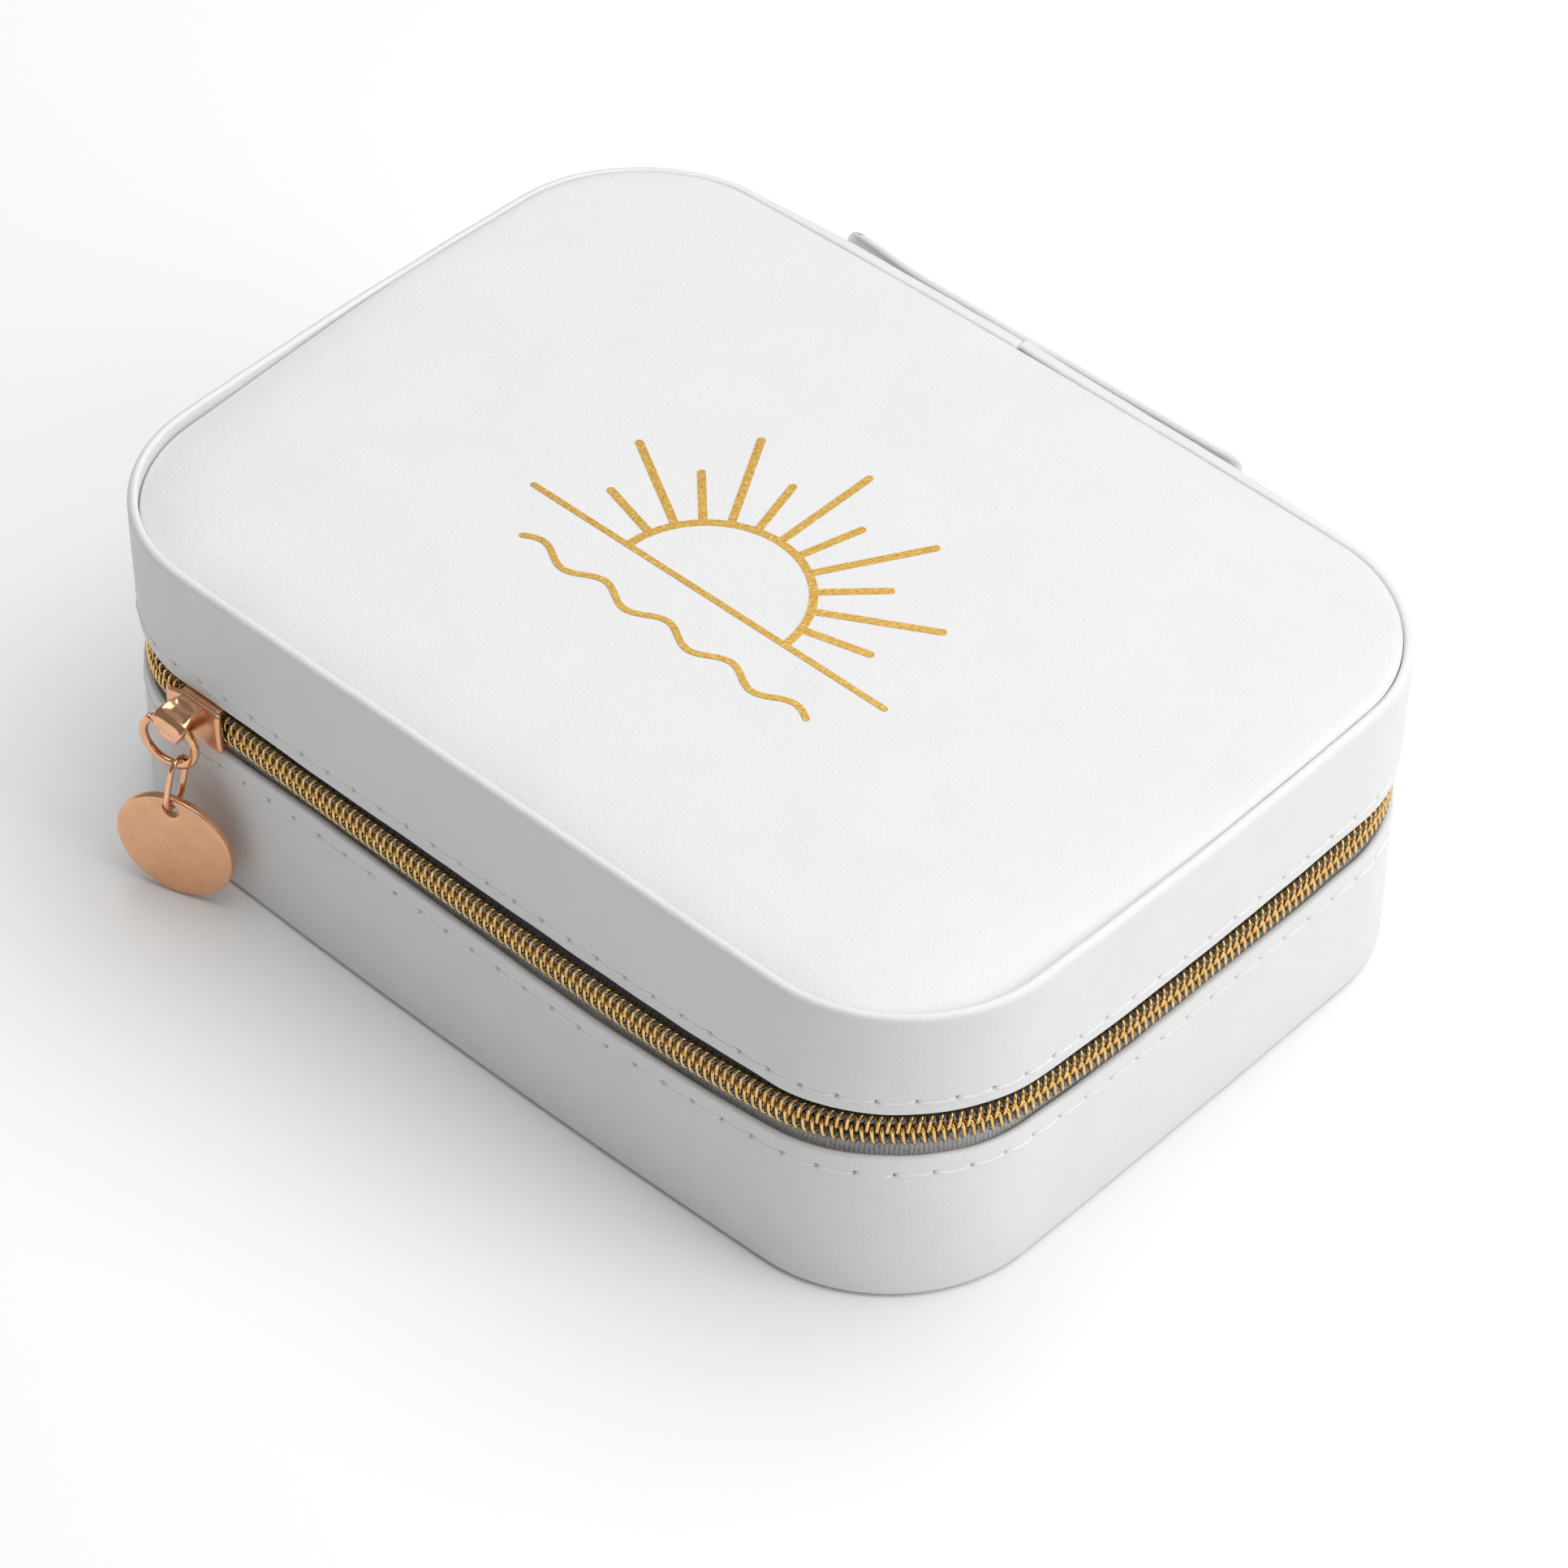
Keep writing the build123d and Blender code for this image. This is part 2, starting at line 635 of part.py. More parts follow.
def make_link():
    """Oval wire link from the ring to the disc, square to both."""
    ring_dx = LINK_X - BAIL_X
    band_z = ring_z - (RING_INNER ** 2 - ring_dx ** 2) ** 0.5
    top = Vector(LINK_X, RING_Y, band_z + HANG_GAP + LINK_WIRE)
    hole_top_z = CHARM_CENTRE[2] + CHARM_HOLE_UP + CHARM_HOLE_R
    low = Vector(LINK_X, CHARM_CENTRE[1], hole_top_z - CHARM_GAP - LINK_WIRE)
    run = (top - low).normalized()
    across = Vector(cos(radians(LINK_TWIST)), sin(radians(LINK_TWIST)), 0)
    side = across.cross(run).normalized()
    half = side * LINK_HALF
    upper = top - run * LINK_HALF
    lower = low + run * LINK_HALF
    with BuildPart() as pull_link:
        with BuildLine() as path:
            Line(lower + half, upper + half)
            ThreePointArc(upper + half, top, upper - half)
            Line(upper - half, lower - half)
            ThreePointArc(lower - half, low, lower + half)
        with BuildSketch(Plane(origin=lower + half, z_dir=run)):
            Circle(LINK_WIRE)
        sweep(path=path.line)
    save(pull_link.part, "pull_link")


def make_charm():
    """Round disc charm, turned a little away from the wall, with its hanging hole near the top."""
    normal = Vector(sin(radians(CHARM_TWIST)), -cos(radians(CHARM_TWIST)), 0)
    face = Plane(origin=CHARM_CENTRE, x_dir=Vector(0, 0, 1), z_dir=normal)
    with BuildPart() as charm_disc:
        with BuildSketch(face):
            Circle(CHARM_R)
            with Locations((CHARM_HOLE_UP, 0)):
                Circle(CHARM_HOLE_R, mode=Mode.SUBTRACT)
        extrude(amount=CHARM_T / 2, both=True)
        rims = charm_disc.edges().filter_by(GeomType.CIRCLE).sort_by(SortBy.RADIUS)[-2:]
        fillet(rims, CHARM_ROUND)
    save(charm_disc.part, "charm_disc")


os.makedirs("parts", exist_ok=True)
make_base_wrap()
make_base_wall_board()
make_base_floor()
make_base_lining_wall()
make_lid_wrap()
make_lid_wall_board()
make_lid_top()
make_lid_lining()
make_sun_foil()
make_tapes()
make_coils()
make_stops()
make_hinge_patch()
make_hinge_lining()
make_dividers()
make_ring_rolls()
make_hooks()
make_pocket()
make_slider()
make_bail()
make_ring()
make_link()
make_charm()
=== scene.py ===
"""Looks of the zip-round jewelry box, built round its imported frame. Sizes are in millimetres until make()."""
import json
import math

import bmesh
import bpy
import numpy as np
from mathutils import Matrix, Vector


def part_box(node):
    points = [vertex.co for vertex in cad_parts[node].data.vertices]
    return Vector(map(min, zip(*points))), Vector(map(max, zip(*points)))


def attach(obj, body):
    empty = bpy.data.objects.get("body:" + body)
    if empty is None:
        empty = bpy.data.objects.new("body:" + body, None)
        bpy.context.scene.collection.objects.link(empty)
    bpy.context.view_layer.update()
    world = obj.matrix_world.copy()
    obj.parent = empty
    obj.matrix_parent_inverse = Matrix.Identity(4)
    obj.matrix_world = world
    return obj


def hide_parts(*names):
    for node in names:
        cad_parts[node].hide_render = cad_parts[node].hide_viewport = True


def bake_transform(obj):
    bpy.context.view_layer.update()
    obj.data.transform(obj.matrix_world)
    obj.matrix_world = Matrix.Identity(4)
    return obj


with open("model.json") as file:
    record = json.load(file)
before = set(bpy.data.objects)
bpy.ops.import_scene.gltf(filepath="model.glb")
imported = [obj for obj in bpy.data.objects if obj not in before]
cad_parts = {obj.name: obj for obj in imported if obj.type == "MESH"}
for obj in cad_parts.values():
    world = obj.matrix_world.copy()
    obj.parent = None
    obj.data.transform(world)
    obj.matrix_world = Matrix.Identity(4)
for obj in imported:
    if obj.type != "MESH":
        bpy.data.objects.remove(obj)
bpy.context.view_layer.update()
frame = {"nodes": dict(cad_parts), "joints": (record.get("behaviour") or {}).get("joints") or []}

MM = 0.001
TURN = 2 * math.pi


def mm_box(node):
    """Lowest and highest corner of a CAD node, in millimetres."""
    low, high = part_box(node)
    return np.array(low) / MM, np.array(high) / MM


# ---- Sizes of the case, from the frame ----

CAD_SIDE_BOW = 1.2
CORNER_R = 24.65
HALF_LENGTH = mm_box("base_wrap")[1][0] - CAD_SIDE_BOW
HALF_WIDTH = mm_box("base_wrap")[1][1]
BASE_HEM = mm_box("base_wrap")[1][2]
LID_HEM = mm_box("lid_wrap")[0][2]
RIM_Z = mm_box("lid_wrap")[1][2]
PANEL_Z = mm_box("lid_top_cover")[1][2] + 0.03
FLOOR_Z = mm_box("base_lining_floor")[1][2]
CEILING_Z = mm_box("lid_lining_top")[0][2]
ZIP_MID = (mm_box("zipper_coil_lower")[1][2] + mm_box("zipper_coil_upper")[0][2]) / 2
ZIP_END_X = mm_box("zipper_stops_lower")[1][0] + 0.1

# How far the middle of each side bows outwards, at these heights
BOW_Z = (0, BASE_HEM, LID_HEM, RIM_Z)
SHORT_BOW = (0.6, 0.3, 1.35, 1.85)
FRONT_BOW = (2.15, 0.3, 0.3, 0.2)
FRONT_BULGE = (0.0, 1.5, 0.0, 0.0)
BULGE_X = 22.0
BULGE_WIDTH = 38.0
BACK_BOW = (0.2, 0.3, 0.9, 1.85)

# How much higher the soft walls stand, at these heights: at the front right corner, and along the front
RISE_Z = (3, 22, BASE_HEM, 28, 33, 37.6, 50)
CORNER_RISE = (0.0, 2.7, 2.75, 2.0, 2.1, 2.2, 0.0)
CORNER_SPAN = 25.0
FRONT_RISE = (0.0, 0.3, 0.3, -0.45, -0.45, -0.45, 0.0)
FRONT_END = 55.0
FRONT_SOFT = 8.0

# Build-up of the walls, as offsets from the outer face
SKIN_T = 1.1
BOARD_OUT = 1.7
BOARD_IN = 3.0
LINING_IN = 3.8
RIM_WIDTH = 1.55
REAR_RIM = 0.7
REAR_END = 50.0
REAR_SOFT = 5.0
PANEL_GAP = 0.07


# ---- Curves ----

def eased(t):
    """0 to 1, with a gentle start and end."""
    return t * t * (3 - 2 * t)


def hump(x, centre, width):
    """1 at centre, falling smoothly to 0 within about twice width."""
    return np.exp(-((x - centre) / width) ** 2)


def fade(past, soft):
    """1 before 0, 0 after it, within a few times soft."""
    return 1 / (1 + np.exp(past / soft))


def unit(vectors):
    """The vectors of the last axis at length 1."""
    return vectors / np.linalg.norm(vectors, axis=-1, keepdims=True)


def compass(degrees):
    """Level direction turned from +X by degrees, towards +Y."""
    angle = math.radians(degrees)
    return np.array((math.cos(angle), math.sin(angle), 0))


UP = np.array((0, 0, 1))


# ---- The outline ----

def outline_segments():
    """The rounded rectangle as runs: distance, x, y, heading and curvature, from the front's centre."""
    a = HALF_LENGTH - CORNER_R
    b = HALF_WIDTH - CORNER_R
    arc = CORNER_R * math.pi / 2
    runs = [(a, 0), (arc, 1), (2 * b, 0), (arc, 1), (2 * a, 0), (arc, 1), (2 * b, 0), (arc, 1), (a, 0)]
    point = np.array((0.0, -HALF_WIDTH))
    heading = 0.0
    travelled = 0.0
    rows = []
    for length, bends in runs:
        rows.append((travelled, point[0], point[1], heading, bends / CORNER_R))
        if bends:
            centre = point - CORNER_R * np.array((math.sin(heading), -math.cos(heading)))
            heading += math.pi / 2
            point = centre + CORNER_R * np.array((math.sin(heading), -math.cos(heading)))
        else:
            point = point + length * np.array((math.cos(heading), math.sin(heading)))
        travelled += length
    return np.array(rows), travelled


RUNS, PERIMETER = outline_segments()


def warp(points, level=None):
    """Moves points of the straight-sided case to where the soft, slightly bowed case has them."""
    x, y, z = points[..., 0], points[..., 1], points[..., 2]
    level = z if level is None else np.broadcast_to(level, z.shape)
    short, front, back, bulge = (
        np.interp(level, BOW_Z, bow) for bow in (SHORT_BOW, FRONT_BOW, BACK_BOW, FRONT_BULGE)
    )
    across = np.clip(1 - (y / HALF_WIDTH) ** 2, 0, 1)
    along = np.clip(1 - (x / HALF_LENGTH) ** 2, 0, 1)
    frontness = np.clip(-y / HALF_WIDTH, 0, 1.1)
    backness = np.clip(y / HALF_WIDTH, 0, 1.1)
    moved = np.array(points, float)
    moved[..., 0] = x * (1 + short / HALF_LENGTH * across)
    moved[..., 1] = y - frontness * front * along + backness * back * along
    moved[..., 1] -= frontness * bulge * hump(x, BULGE_X, BULGE_WIDTH)
    return moved


def flat_place(s, offset, z):
    """Points at distance s along the straight-sided outline, offset outwards, at height z."""
    s, offset, z = np.broadcast_arrays(s, offset, z)
    s = np.mod(s, PERIMETER)
    run = RUNS[np.searchsorted(RUNS[:, 0], s, side="right") - 1]
    travel = s - run[..., 0]
    heading0, curve = run[..., 3], run[..., 4]
    heading = heading0 + curve * travel
    radius = np.where(curve > 0, CORNER_R, 0)
    straight = np.where(curve > 0, 0, travel)
    x = run[..., 1] + straight * np.cos(heading0) + radius * (np.sin(heading) - np.sin(heading0))
    y = run[..., 2] + straight * np.sin(heading0) - radius * (np.cos(heading) - np.cos(heading0))
    return np.stack((x + offset * np.sin(heading), y - offset * np.cos(heading), z + 0 * s), -1)


def from_front(s):
    """Distance along the outline from the front's centre, negative to the left."""
    return np.mod(s + PERIMETER / 2, PERIMETER) - PERIMETER / 2


def uneven(s, z):
    """How much the front right corner and the front rise or sink."""
    s = from_front(s)
    corner = hump(s, RUNS[1][0] + CORNER_R * math.pi / 4, CORNER_SPAN)
    front = fade(np.abs(s) - FRONT_END, FRONT_SOFT)
    return corner * np.interp(z, RISE_Z, CORNER_RISE) + front * np.interp(z, RISE_Z, FRONT_RISE)


def place(s, offset, z, level=None):
    """flat_place, then the rises and the bows."""
    points = flat_place(s, offset, z)
    level = points[..., 2].copy() if level is None else level
    points[..., 2] += uneven(s, z)
    return warp(points, level)


def cornerness(s):
    """1 at the middle of each corner, 0 along the sides, smooth between."""
    s = np.mod(s, PERIMETER)
    arc = CORNER_R * math.pi / 2
    value = np.zeros_like(s)
    for run in RUNS:
        if run[4] > 0:
            value = np.maximum(value, np.clip(1 - np.abs(s - run[0] - arc / 2) / arc, 0, 1))
    return eased(value)


def wander(s, seed, longest):
    """Slow, smooth unevenness along the outline, between about -1 and 1."""
    total = np.zeros_like(s, dtype=float)
    for k in range(1, 6):
        waves = round(PERIMETER / longest * (k * 1.37 + 0.4))
        total += np.sin(TURN * waves * s / PERIMETER + seed * 1.7 + k * k * 2.1) / k
    return total / 1.9


def back_s(x):
    """Distance along the outline of the point of the back side with that x."""
    return RUNS[4][0] + RUNS[4][1] - x


def along_back(s):
    """1 along the back side, fading to 0 before its corners."""
    return fade(np.abs(np.mod(s, PERIMETER) - back_s(0)) - REAR_END, REAR_SOFT)


# ---- Meshes ----

WELD = 0.002 * MM


class Shape:
    """Collects grids and fans of points and turns them into one mesh object."""

    def __init__(self):
        self.points = []
        self.faces = {4: [], 3: []}
        self.tags = {4: [], 3: []}
        self.count = 0

    def add_points(self, points):
        flat = np.asarray(points, float).reshape(-1, 3)
        first = self.count
        self.points.append(flat)
        self.count += len(flat)
        return first + np.arange(len(flat))

    def add_faces(self, faces, tag=0):
        """Faces as sets of three or four point numbers; tag is the number of their material."""
        corners = faces.shape[-1]
        self.faces[corners].append(faces.reshape(-1, corners))
        self.tags[corners].append(np.broadcast_to(tag, faces.shape[:-1]).ravel())

    def grid(self, points, close_u=False, close_v=False, tag=0):
        """Quads over a (rows, columns, 3) array; returns the point numbers as (rows, columns)."""
        index = self.add_points(points).reshape(points.shape[:2])
        ring = np.vstack((index, index[:1])) if close_u else index
        ring = np.hstack((ring, ring[:, :1])) if close_v else ring
        self.add_faces(np.stack((ring[:-1, :-1], ring[1:, :-1], ring[1:, 1:], ring[:-1, 1:]), -1), tag)
        return index

    def fan(self, ring, centre):
        """Triangles from a closed ring of point numbers to one point."""
        middle = self.add_points(centre)
        self.add_faces(np.stack((ring, np.roll(ring, -1), np.repeat(middle, len(ring))), -1))

    def strip(self, ring_a, ring_b):
        """Quads between two closed rings of point numbers."""
        self.add_faces(np.stack((ring_a, np.roll(ring_a, -1), np.roll(ring_b, -1), ring_b), -1))

    def rod(self, rings, tips=None, tag=0):
        """Closed rings joined into a rod, with both ends filled up to tips, or flat."""
        index = self.grid(rings, close_v=True, tag=tag)
        for end in (0, -1):
            self.fan(index[end], rings[end].mean(0) if tips is None else tips[end])

    def slab(self, sides):
        """Two grids of one size, joined round their edges."""
        index = [self.grid(side) for side in sides]
        self.strip(*(np.concatenate((g[0, :-1], g[:-1, -1], g[-1, :0:-1], g[:0:-1, 0])) for g in index))

    def tube(self, path, side, half_side, half_other, sides, power=2.0, closed=False):
        """A tube along path; side is the direction of its half_side; a power over 2 squares its section."""
        path = np.asarray(path, float)
        tangent = unit(np.roll(path, -1, 0) - np.roll(path, 1, 0) if closed else np.gradient(path, axis=0))
        side = np.broadcast_to(np.asarray(side, float), path.shape)
        side = unit(side - (side * tangent).sum(1)[:, None] * tangent)
        other = np.cross(tangent, side)
        angle = TURN * np.arange(sides) / sides
        c, s = np.cos(angle), np.sin(angle)
        u = np.sign(c) * np.abs(c) ** (2 / power)
        v = np.sign(s) * np.abs(s) ** (2 / power)
        half_side = np.broadcast_to(half_side, len(path))[:, None, None]
        half_other = np.broadcast_to(half_other, len(path))[:, None, None]
        rings = path[:, None] + half_side * u[:, None] * side[:, None]
        rings = rings + half_other * v[:, None] * other[:, None]
        if closed:
            self.grid(rings, close_u=True, close_v=True)
            return
        bulge = 0.3 * half_other[:, 0]
        self.rod(rings, (path[0] - tangent[0] * bulge[0], path[-1] + tangent[-1] * bulge[-1]))

    def box(self, low, high, radius, counts, change=None):
        """A box with rounded edges, as a fine grid that change(points) may bend."""
        low, high = np.asarray(low, float), np.asarray(high, float)
        half = (high - low) / 2
        radius = np.minimum(radius, half)
        inner = half - radius
        lines = []
        for axis in range(3):
            bend = radius[axis] * np.sin(np.linspace(-math.pi / 2, 0, 5)[:-1]) - inner[axis]
            run = np.linspace(-inner[axis], inner[axis], counts[axis])
            lines.append(np.concatenate((bend, run, -bend[::-1])))
        for axis in range(3):
            p, q = (axis + 1) % 3, (axis + 2) % 3
            for sign in (-1, 1):
                grid = np.zeros((len(lines[p]), len(lines[q]), 3))
                grid[..., p] = lines[p][:, None]
                grid[..., q] = lines[q][None, :]
                grid[..., axis] = sign * half[axis]
                core = np.clip(grid, -inner, inner)
                out = (grid - core) / radius
                size = np.linalg.norm(out, axis=-1, keepdims=True)
                grid = core + out / np.maximum(size, 1e-9) * radius + (low + high) / 2
                self.grid(grid if change is None else change(grid))

    def make(self, name, body, materials, replaces=(), weld=False):
        """The finished object, in metres, riding on its body unless that is None."""
        points = np.concatenate(self.points) * MM
        quads, tris = (np.concatenate([np.zeros((0, k), int), *self.faces[k]]) for k in (4, 3))
        if weld:
            cells = np.round(points / WELD).astype(np.int64)
            _, first, number = np.unique(cells, axis=0, return_index=True, return_inverse=True)
            points = points[first]
            quads, tris = (number.reshape(-1)[faces] for faces in (quads, tris))
        loops = np.concatenate((quads.ravel(), tris.ravel()))
        starts = np.concatenate((4 * np.arange(len(quads)), 4 * len(quads) + 3 * np.arange(len(tris))))
        mesh = bpy.data.meshes.new(name)
        mesh.vertices.add(len(points))
        mesh.vertices.foreach_set("co", points.ravel())
        mesh.loops.add(len(loops))
        mesh.loops.foreach_set("vertex_index", loops)
        mesh.polygons.add(len(starts))
        mesh.polygons.foreach_set("loop_start", starts)
        mesh.polygons.foreach_set("material_index", np.concatenate([*self.tags[4], *self.tags[3]]))
        mesh.polygons.foreach_set("use_smooth", np.ones(len(starts), bool))
        mesh.update(calc_edges=True)
        mesh.validate()
        outward = bmesh.new()
        outward.from_mesh(mesh)
        bmesh.ops.recalc_face_normals(outward, faces=outward.faces)
        outward.to_mesh(mesh)
        outward.free()
        for one in materials:
            mesh.materials.append(one)
        piece = bpy.data.objects.new(name, mesh)
        bpy.context.scene.collection.objects.link(piece)
        if body is not None:
            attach(piece, body)
        if replaces:
            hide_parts(*replaces)
        return piece


def arc_profile(centre_o, centre_z, radius, start, end, count):
    """Points (offset, height) on an arc, with angles in degrees from outwards towards up."""
    angle = np.radians(np.linspace(start, end, count))
    return list(zip(centre_o + radius * np.cos(angle), centre_z + radius * np.sin(angle)))


# ---- Materials ----

class Paint:
    """A node material with its Principled shader, and short ways to feed it."""

    def __init__(self, name, color, roughness, **sockets):
        self.material = bpy.data.materials.new(name)
        self.material.use_nodes = True
        self.nodes = self.material.node_tree.nodes
        self.links = self.material.node_tree.links
        self.shader = self.nodes["Principled BSDF"]
        self.shader.inputs["Base Color"].default_value = (*color, 1)
        self.shader.inputs["Roughness"].default_value = roughness
        for key, value in sockets.items():
            self.shader.inputs[key.replace("_", " ")].default_value = value
        self.coords = self.nodes.new("ShaderNodeTexCoord").outputs["Object"]

    def texture(self, kind, scale, stretch, **values):
        """A texture node on object coordinates in millimetres, stretched by stretch."""
        shift = self.nodes.new("ShaderNodeVectorMath")
        shift.operation = "MULTIPLY"
        shift.inputs[1].default_value = [k / MM for k in stretch]
        self.links.new(self.coords, shift.inputs[0])
        node = self.nodes.new("ShaderNodeTex" + kind)
        node.inputs["Scale"].default_value = scale
        for key, value in values.items():
            node.inputs[key].default_value = value
        self.links.new(shift.outputs[0], node.inputs["Vector"])
        return node

    def noise(self, size, detail=3.0, roughness=0.55, stretch=(1, 1, 1)):
        """Soft noise with features of about size millimetres."""
        return self.texture("Noise", 1 / size, stretch, Detail=detail, Roughness=roughness).outputs["Fac"]

    def cells(self, size):
        """Rounded cells of about size millimetres."""
        return self.texture("Voronoi", 1 / size, (1, 1, 1)).outputs["Distance"]

    def waves(self, size, direction, distortion):
        """Parallel ridges, size millimetres apart."""
        node = self.texture("Wave", TURN / 20 / size, (1, 1, 1), Distortion=distortion)
        node.bands_direction = direction
        return node.outputs["Fac"]

    def math(self, operation, first, second):
        node = self.nodes.new("ShaderNodeMath")
        node.operation = operation
        for socket, value in zip(node.inputs, (first, second)):
            if isinstance(value, (int, float)):
                socket.default_value = value
            else:
                self.links.new(value, socket)
        return node.outputs[0]

    def add(self, first, second):
        return self.math("ADD", first, second)

    def times(self, first, second):
        return self.math("MULTIPLY", first, second)

    def color(self, value, stops):
        """Base colour from a value, by a list of (place, colour)."""
        node = self.nodes.new("ShaderNodeValToRGB")
        ramp = node.color_ramp
        while len(ramp.elements) < len(stops):
            ramp.elements.new(0.5)
        for element, (where, color) in zip(ramp.elements, stops):
            element.position = where
            element.color = (*color, 1)
        self.links.new(value, node.inputs["Fac"])
        self.links.new(node.outputs["Color"], self.shader.inputs["Base Color"])

    def rough(self, value, low, high):
        """Roughness from low to high, by a noise."""
        node = self.nodes.new("ShaderNodeMapRange")
        for key, number in (("From Min", 0.3), ("From Max", 0.7), ("To Min", low), ("To Max", high)):
            node.inputs[key].default_value = number
        self.links.new(value, node.inputs["Value"])
        self.links.new(node.outputs["Result"], self.shader.inputs["Roughness"])

    def bump(self, height, depth):
        """Relief of depth millimetres; returns the finished material."""
        node = self.nodes.new("ShaderNodeBump")
        node.inputs["Strength"].default_value = 1.0
        node.inputs["Distance"].default_value = depth * MM
        self.links.new(height, node.inputs["Height"])
        self.links.new(node.outputs["Normal"], self.shader.inputs["Normal"])
        return self.material


def shades(color, factors):
    """Darker and lighter versions of a colour."""
    return [tuple(k * c for c in color) for k in factors]


def leather_material():
    """Imitation leather: fine pebble grain, a few soft pores, satin coat."""
    dark, main, pale = shades((0.76, 0.76, 0.76), (0.965, 1.0, 1.02))
    paint = Paint("white_leather", main, 0.42)
    mottle = paint.add(paint.times(paint.noise(14.0, 4), 0.55), paint.times(paint.noise(0.3, 2), 0.45))
    paint.color(mottle, [(0.3, dark), (0.5, main), (0.7, pale)])
    paint.rough(paint.noise(5.0, 3), 0.38, 0.52)
    grain = paint.add(paint.times(paint.cells(0.55), 0.9), paint.noise(0.16, 2))
    return paint.bump(paint.add(grain, paint.times(paint.noise(2.6, 2), 0.9)), 0.03)


# Painted shade: a near-black material for the faces deep in each needle hole, standing for the shade inside the
# hole
def hole_material():
    paint = Paint("needle_hole", (0.16, 0.14, 0.13), 0.8)
    paint.color(paint.noise(0.3), [(0.3, (0.08, 0.07, 0.065)), (0.7, (0.24, 0.22, 0.2))])
    return paint.bump(paint.noise(0.12), 0.03)


def thread_material(name, color):
    paint = Paint(name, color, 0.75, Sheen_Weight=0.25, Sheen_Roughness=0.5)
    dark, main = shades(color, (0.82, 1.0))
    paint.color(paint.noise(0.14, 2), [(0.3, dark), (0.65, main)])
    return paint.bump(paint.waves(0.16, "DIAGONAL", 0.6), 0.03)


def tape_material(name, level):
    """Woven grey tape: ribs come from the mesh, the yarns from the bump."""
    dark, main, pale = shades((level, level, level * 1.01), (0.72, 1.0, 1.28))
    paint = Paint(name, main, 0.85, Sheen_Weight=0.2, Sheen_Roughness=0.5)
    streaks = paint.noise(0.35, 3, stretch=(1, 1, 0.35))
    paint.color(streaks, [(0.3, dark), (0.5, main), (0.75, pale)])
    return paint.bump(paint.add(paint.waves(0.24, "Z", 0.5), paint.noise(0.12, 2)), 0.05)


def gold_wire_material():
    """Metallised gold filament."""
    paint = Paint("gold_wire", (0.80, 0.53, 0.21), 0.18, Metallic=1.0)
    stops = [(0.3, (0.66, 0.41, 0.13)), (0.55, (0.82, 0.55, 0.22)), (0.8, (0.95, 0.71, 0.35))]
    paint.color(paint.noise(0.8, 3), stops)
    paint.rough(paint.noise(0.5, 2), 0.13, 0.26)
    return paint.bump(paint.noise(0.2, 2), 0.006)


def foil_material():
    """Hot-stamped gold foil, mottled where the leather's grain shows through."""
    paint = Paint("gold_foil", (0.72, 0.46, 0.12), 0.42, Metallic=0.85)
    stops = [(0.25, (0.52, 0.29, 0.05)), (0.5, (0.68, 0.42, 0.10)), (0.78, (0.90, 0.64, 0.25))]
    paint.color(paint.noise(0.55, 4, 0.7), stops)
    paint.rough(paint.noise(0.4, 3), 0.28, 0.55)
    return paint.bump(paint.add(paint.cells(0.42), paint.noise(0.2, 3)), 0.02)


def rose_gold_material(name, roughness, spread):
    """Rose-gold plate with fine handling scratches."""
    paint = Paint(name, (0.82, 0.46, 0.27), roughness, Metallic=1.0)
    paint.color(paint.noise(3.0, 3), [(0.3, (0.79, 0.435, 0.25)), (0.7, (0.86, 0.49, 0.295))])
    paint.rough(paint.noise(0.7, 4), roughness - spread / 2, roughness + spread)
    return paint.bump(paint.noise(0.5, 3, stretch=(0.12, 1, 1.6)), 0.004)


def velvet_material():
    """Short-pile velvet with brushed patches."""
    dark, main, pale = shades((0.46, 0.46 * 0.985, 0.46 * 0.965), (0.72, 1.0, 1.25))
    sheen = {"Sheen_Weight": 0.9, "Sheen_Roughness": 0.35, "Sheen_Tint": (0.95, 0.94, 0.93, 1)}
    paint = Paint("grey_velvet", main, 0.95, **sheen)
    patches = paint.add(paint.times(paint.noise(9.0, 3), 0.7), paint.times(paint.noise(0.5, 3), 0.3))
    paint.color(patches, [(0.35, dark), (0.5, main), (0.66, pale)])
    return paint.bump(paint.add(paint.noise(0.18, 2), paint.noise(1.4, 2)), 0.09)


def board_material():
    paint = Paint("grey_board", (0.42, 0.39, 0.35), 0.9)
    fibres = paint.noise(0.6, 4, stretch=(1, 1, 2.5))
    paint.color(fibres, [(0.3, (0.32, 0.295, 0.26)), (0.55, (0.43, 0.40, 0.36)), (0.8, (0.55, 0.52, 0.47))])
    return paint.bump(fibres, 0.08)


def foam_material():
    paint = Paint("foam", (0.82, 0.80, 0.72), 0.95, Subsurface_Weight=0.1)
    pores = paint.cells(0.9)
    paint.color(pores, [(0.1, (0.55, 0.53, 0.46)), (0.4, (0.82, 0.80, 0.72))])
    return paint.bump(pores, 0.25)


def elastic_material():
    """Ribbed elastic band."""
    paint = Paint("elastic", (0.55, 0.54, 0.53), 0.8, Sheen_Weight=0.3)
    ribs = paint.waves(0.75, "Y", 0.1)
    paint.color(ribs, [(0.1, (0.36, 0.355, 0.35)), (0.7, (0.60, 0.59, 0.58))])
    return paint.bump(paint.add(ribs, paint.noise(0.25, 2)), 0.1)


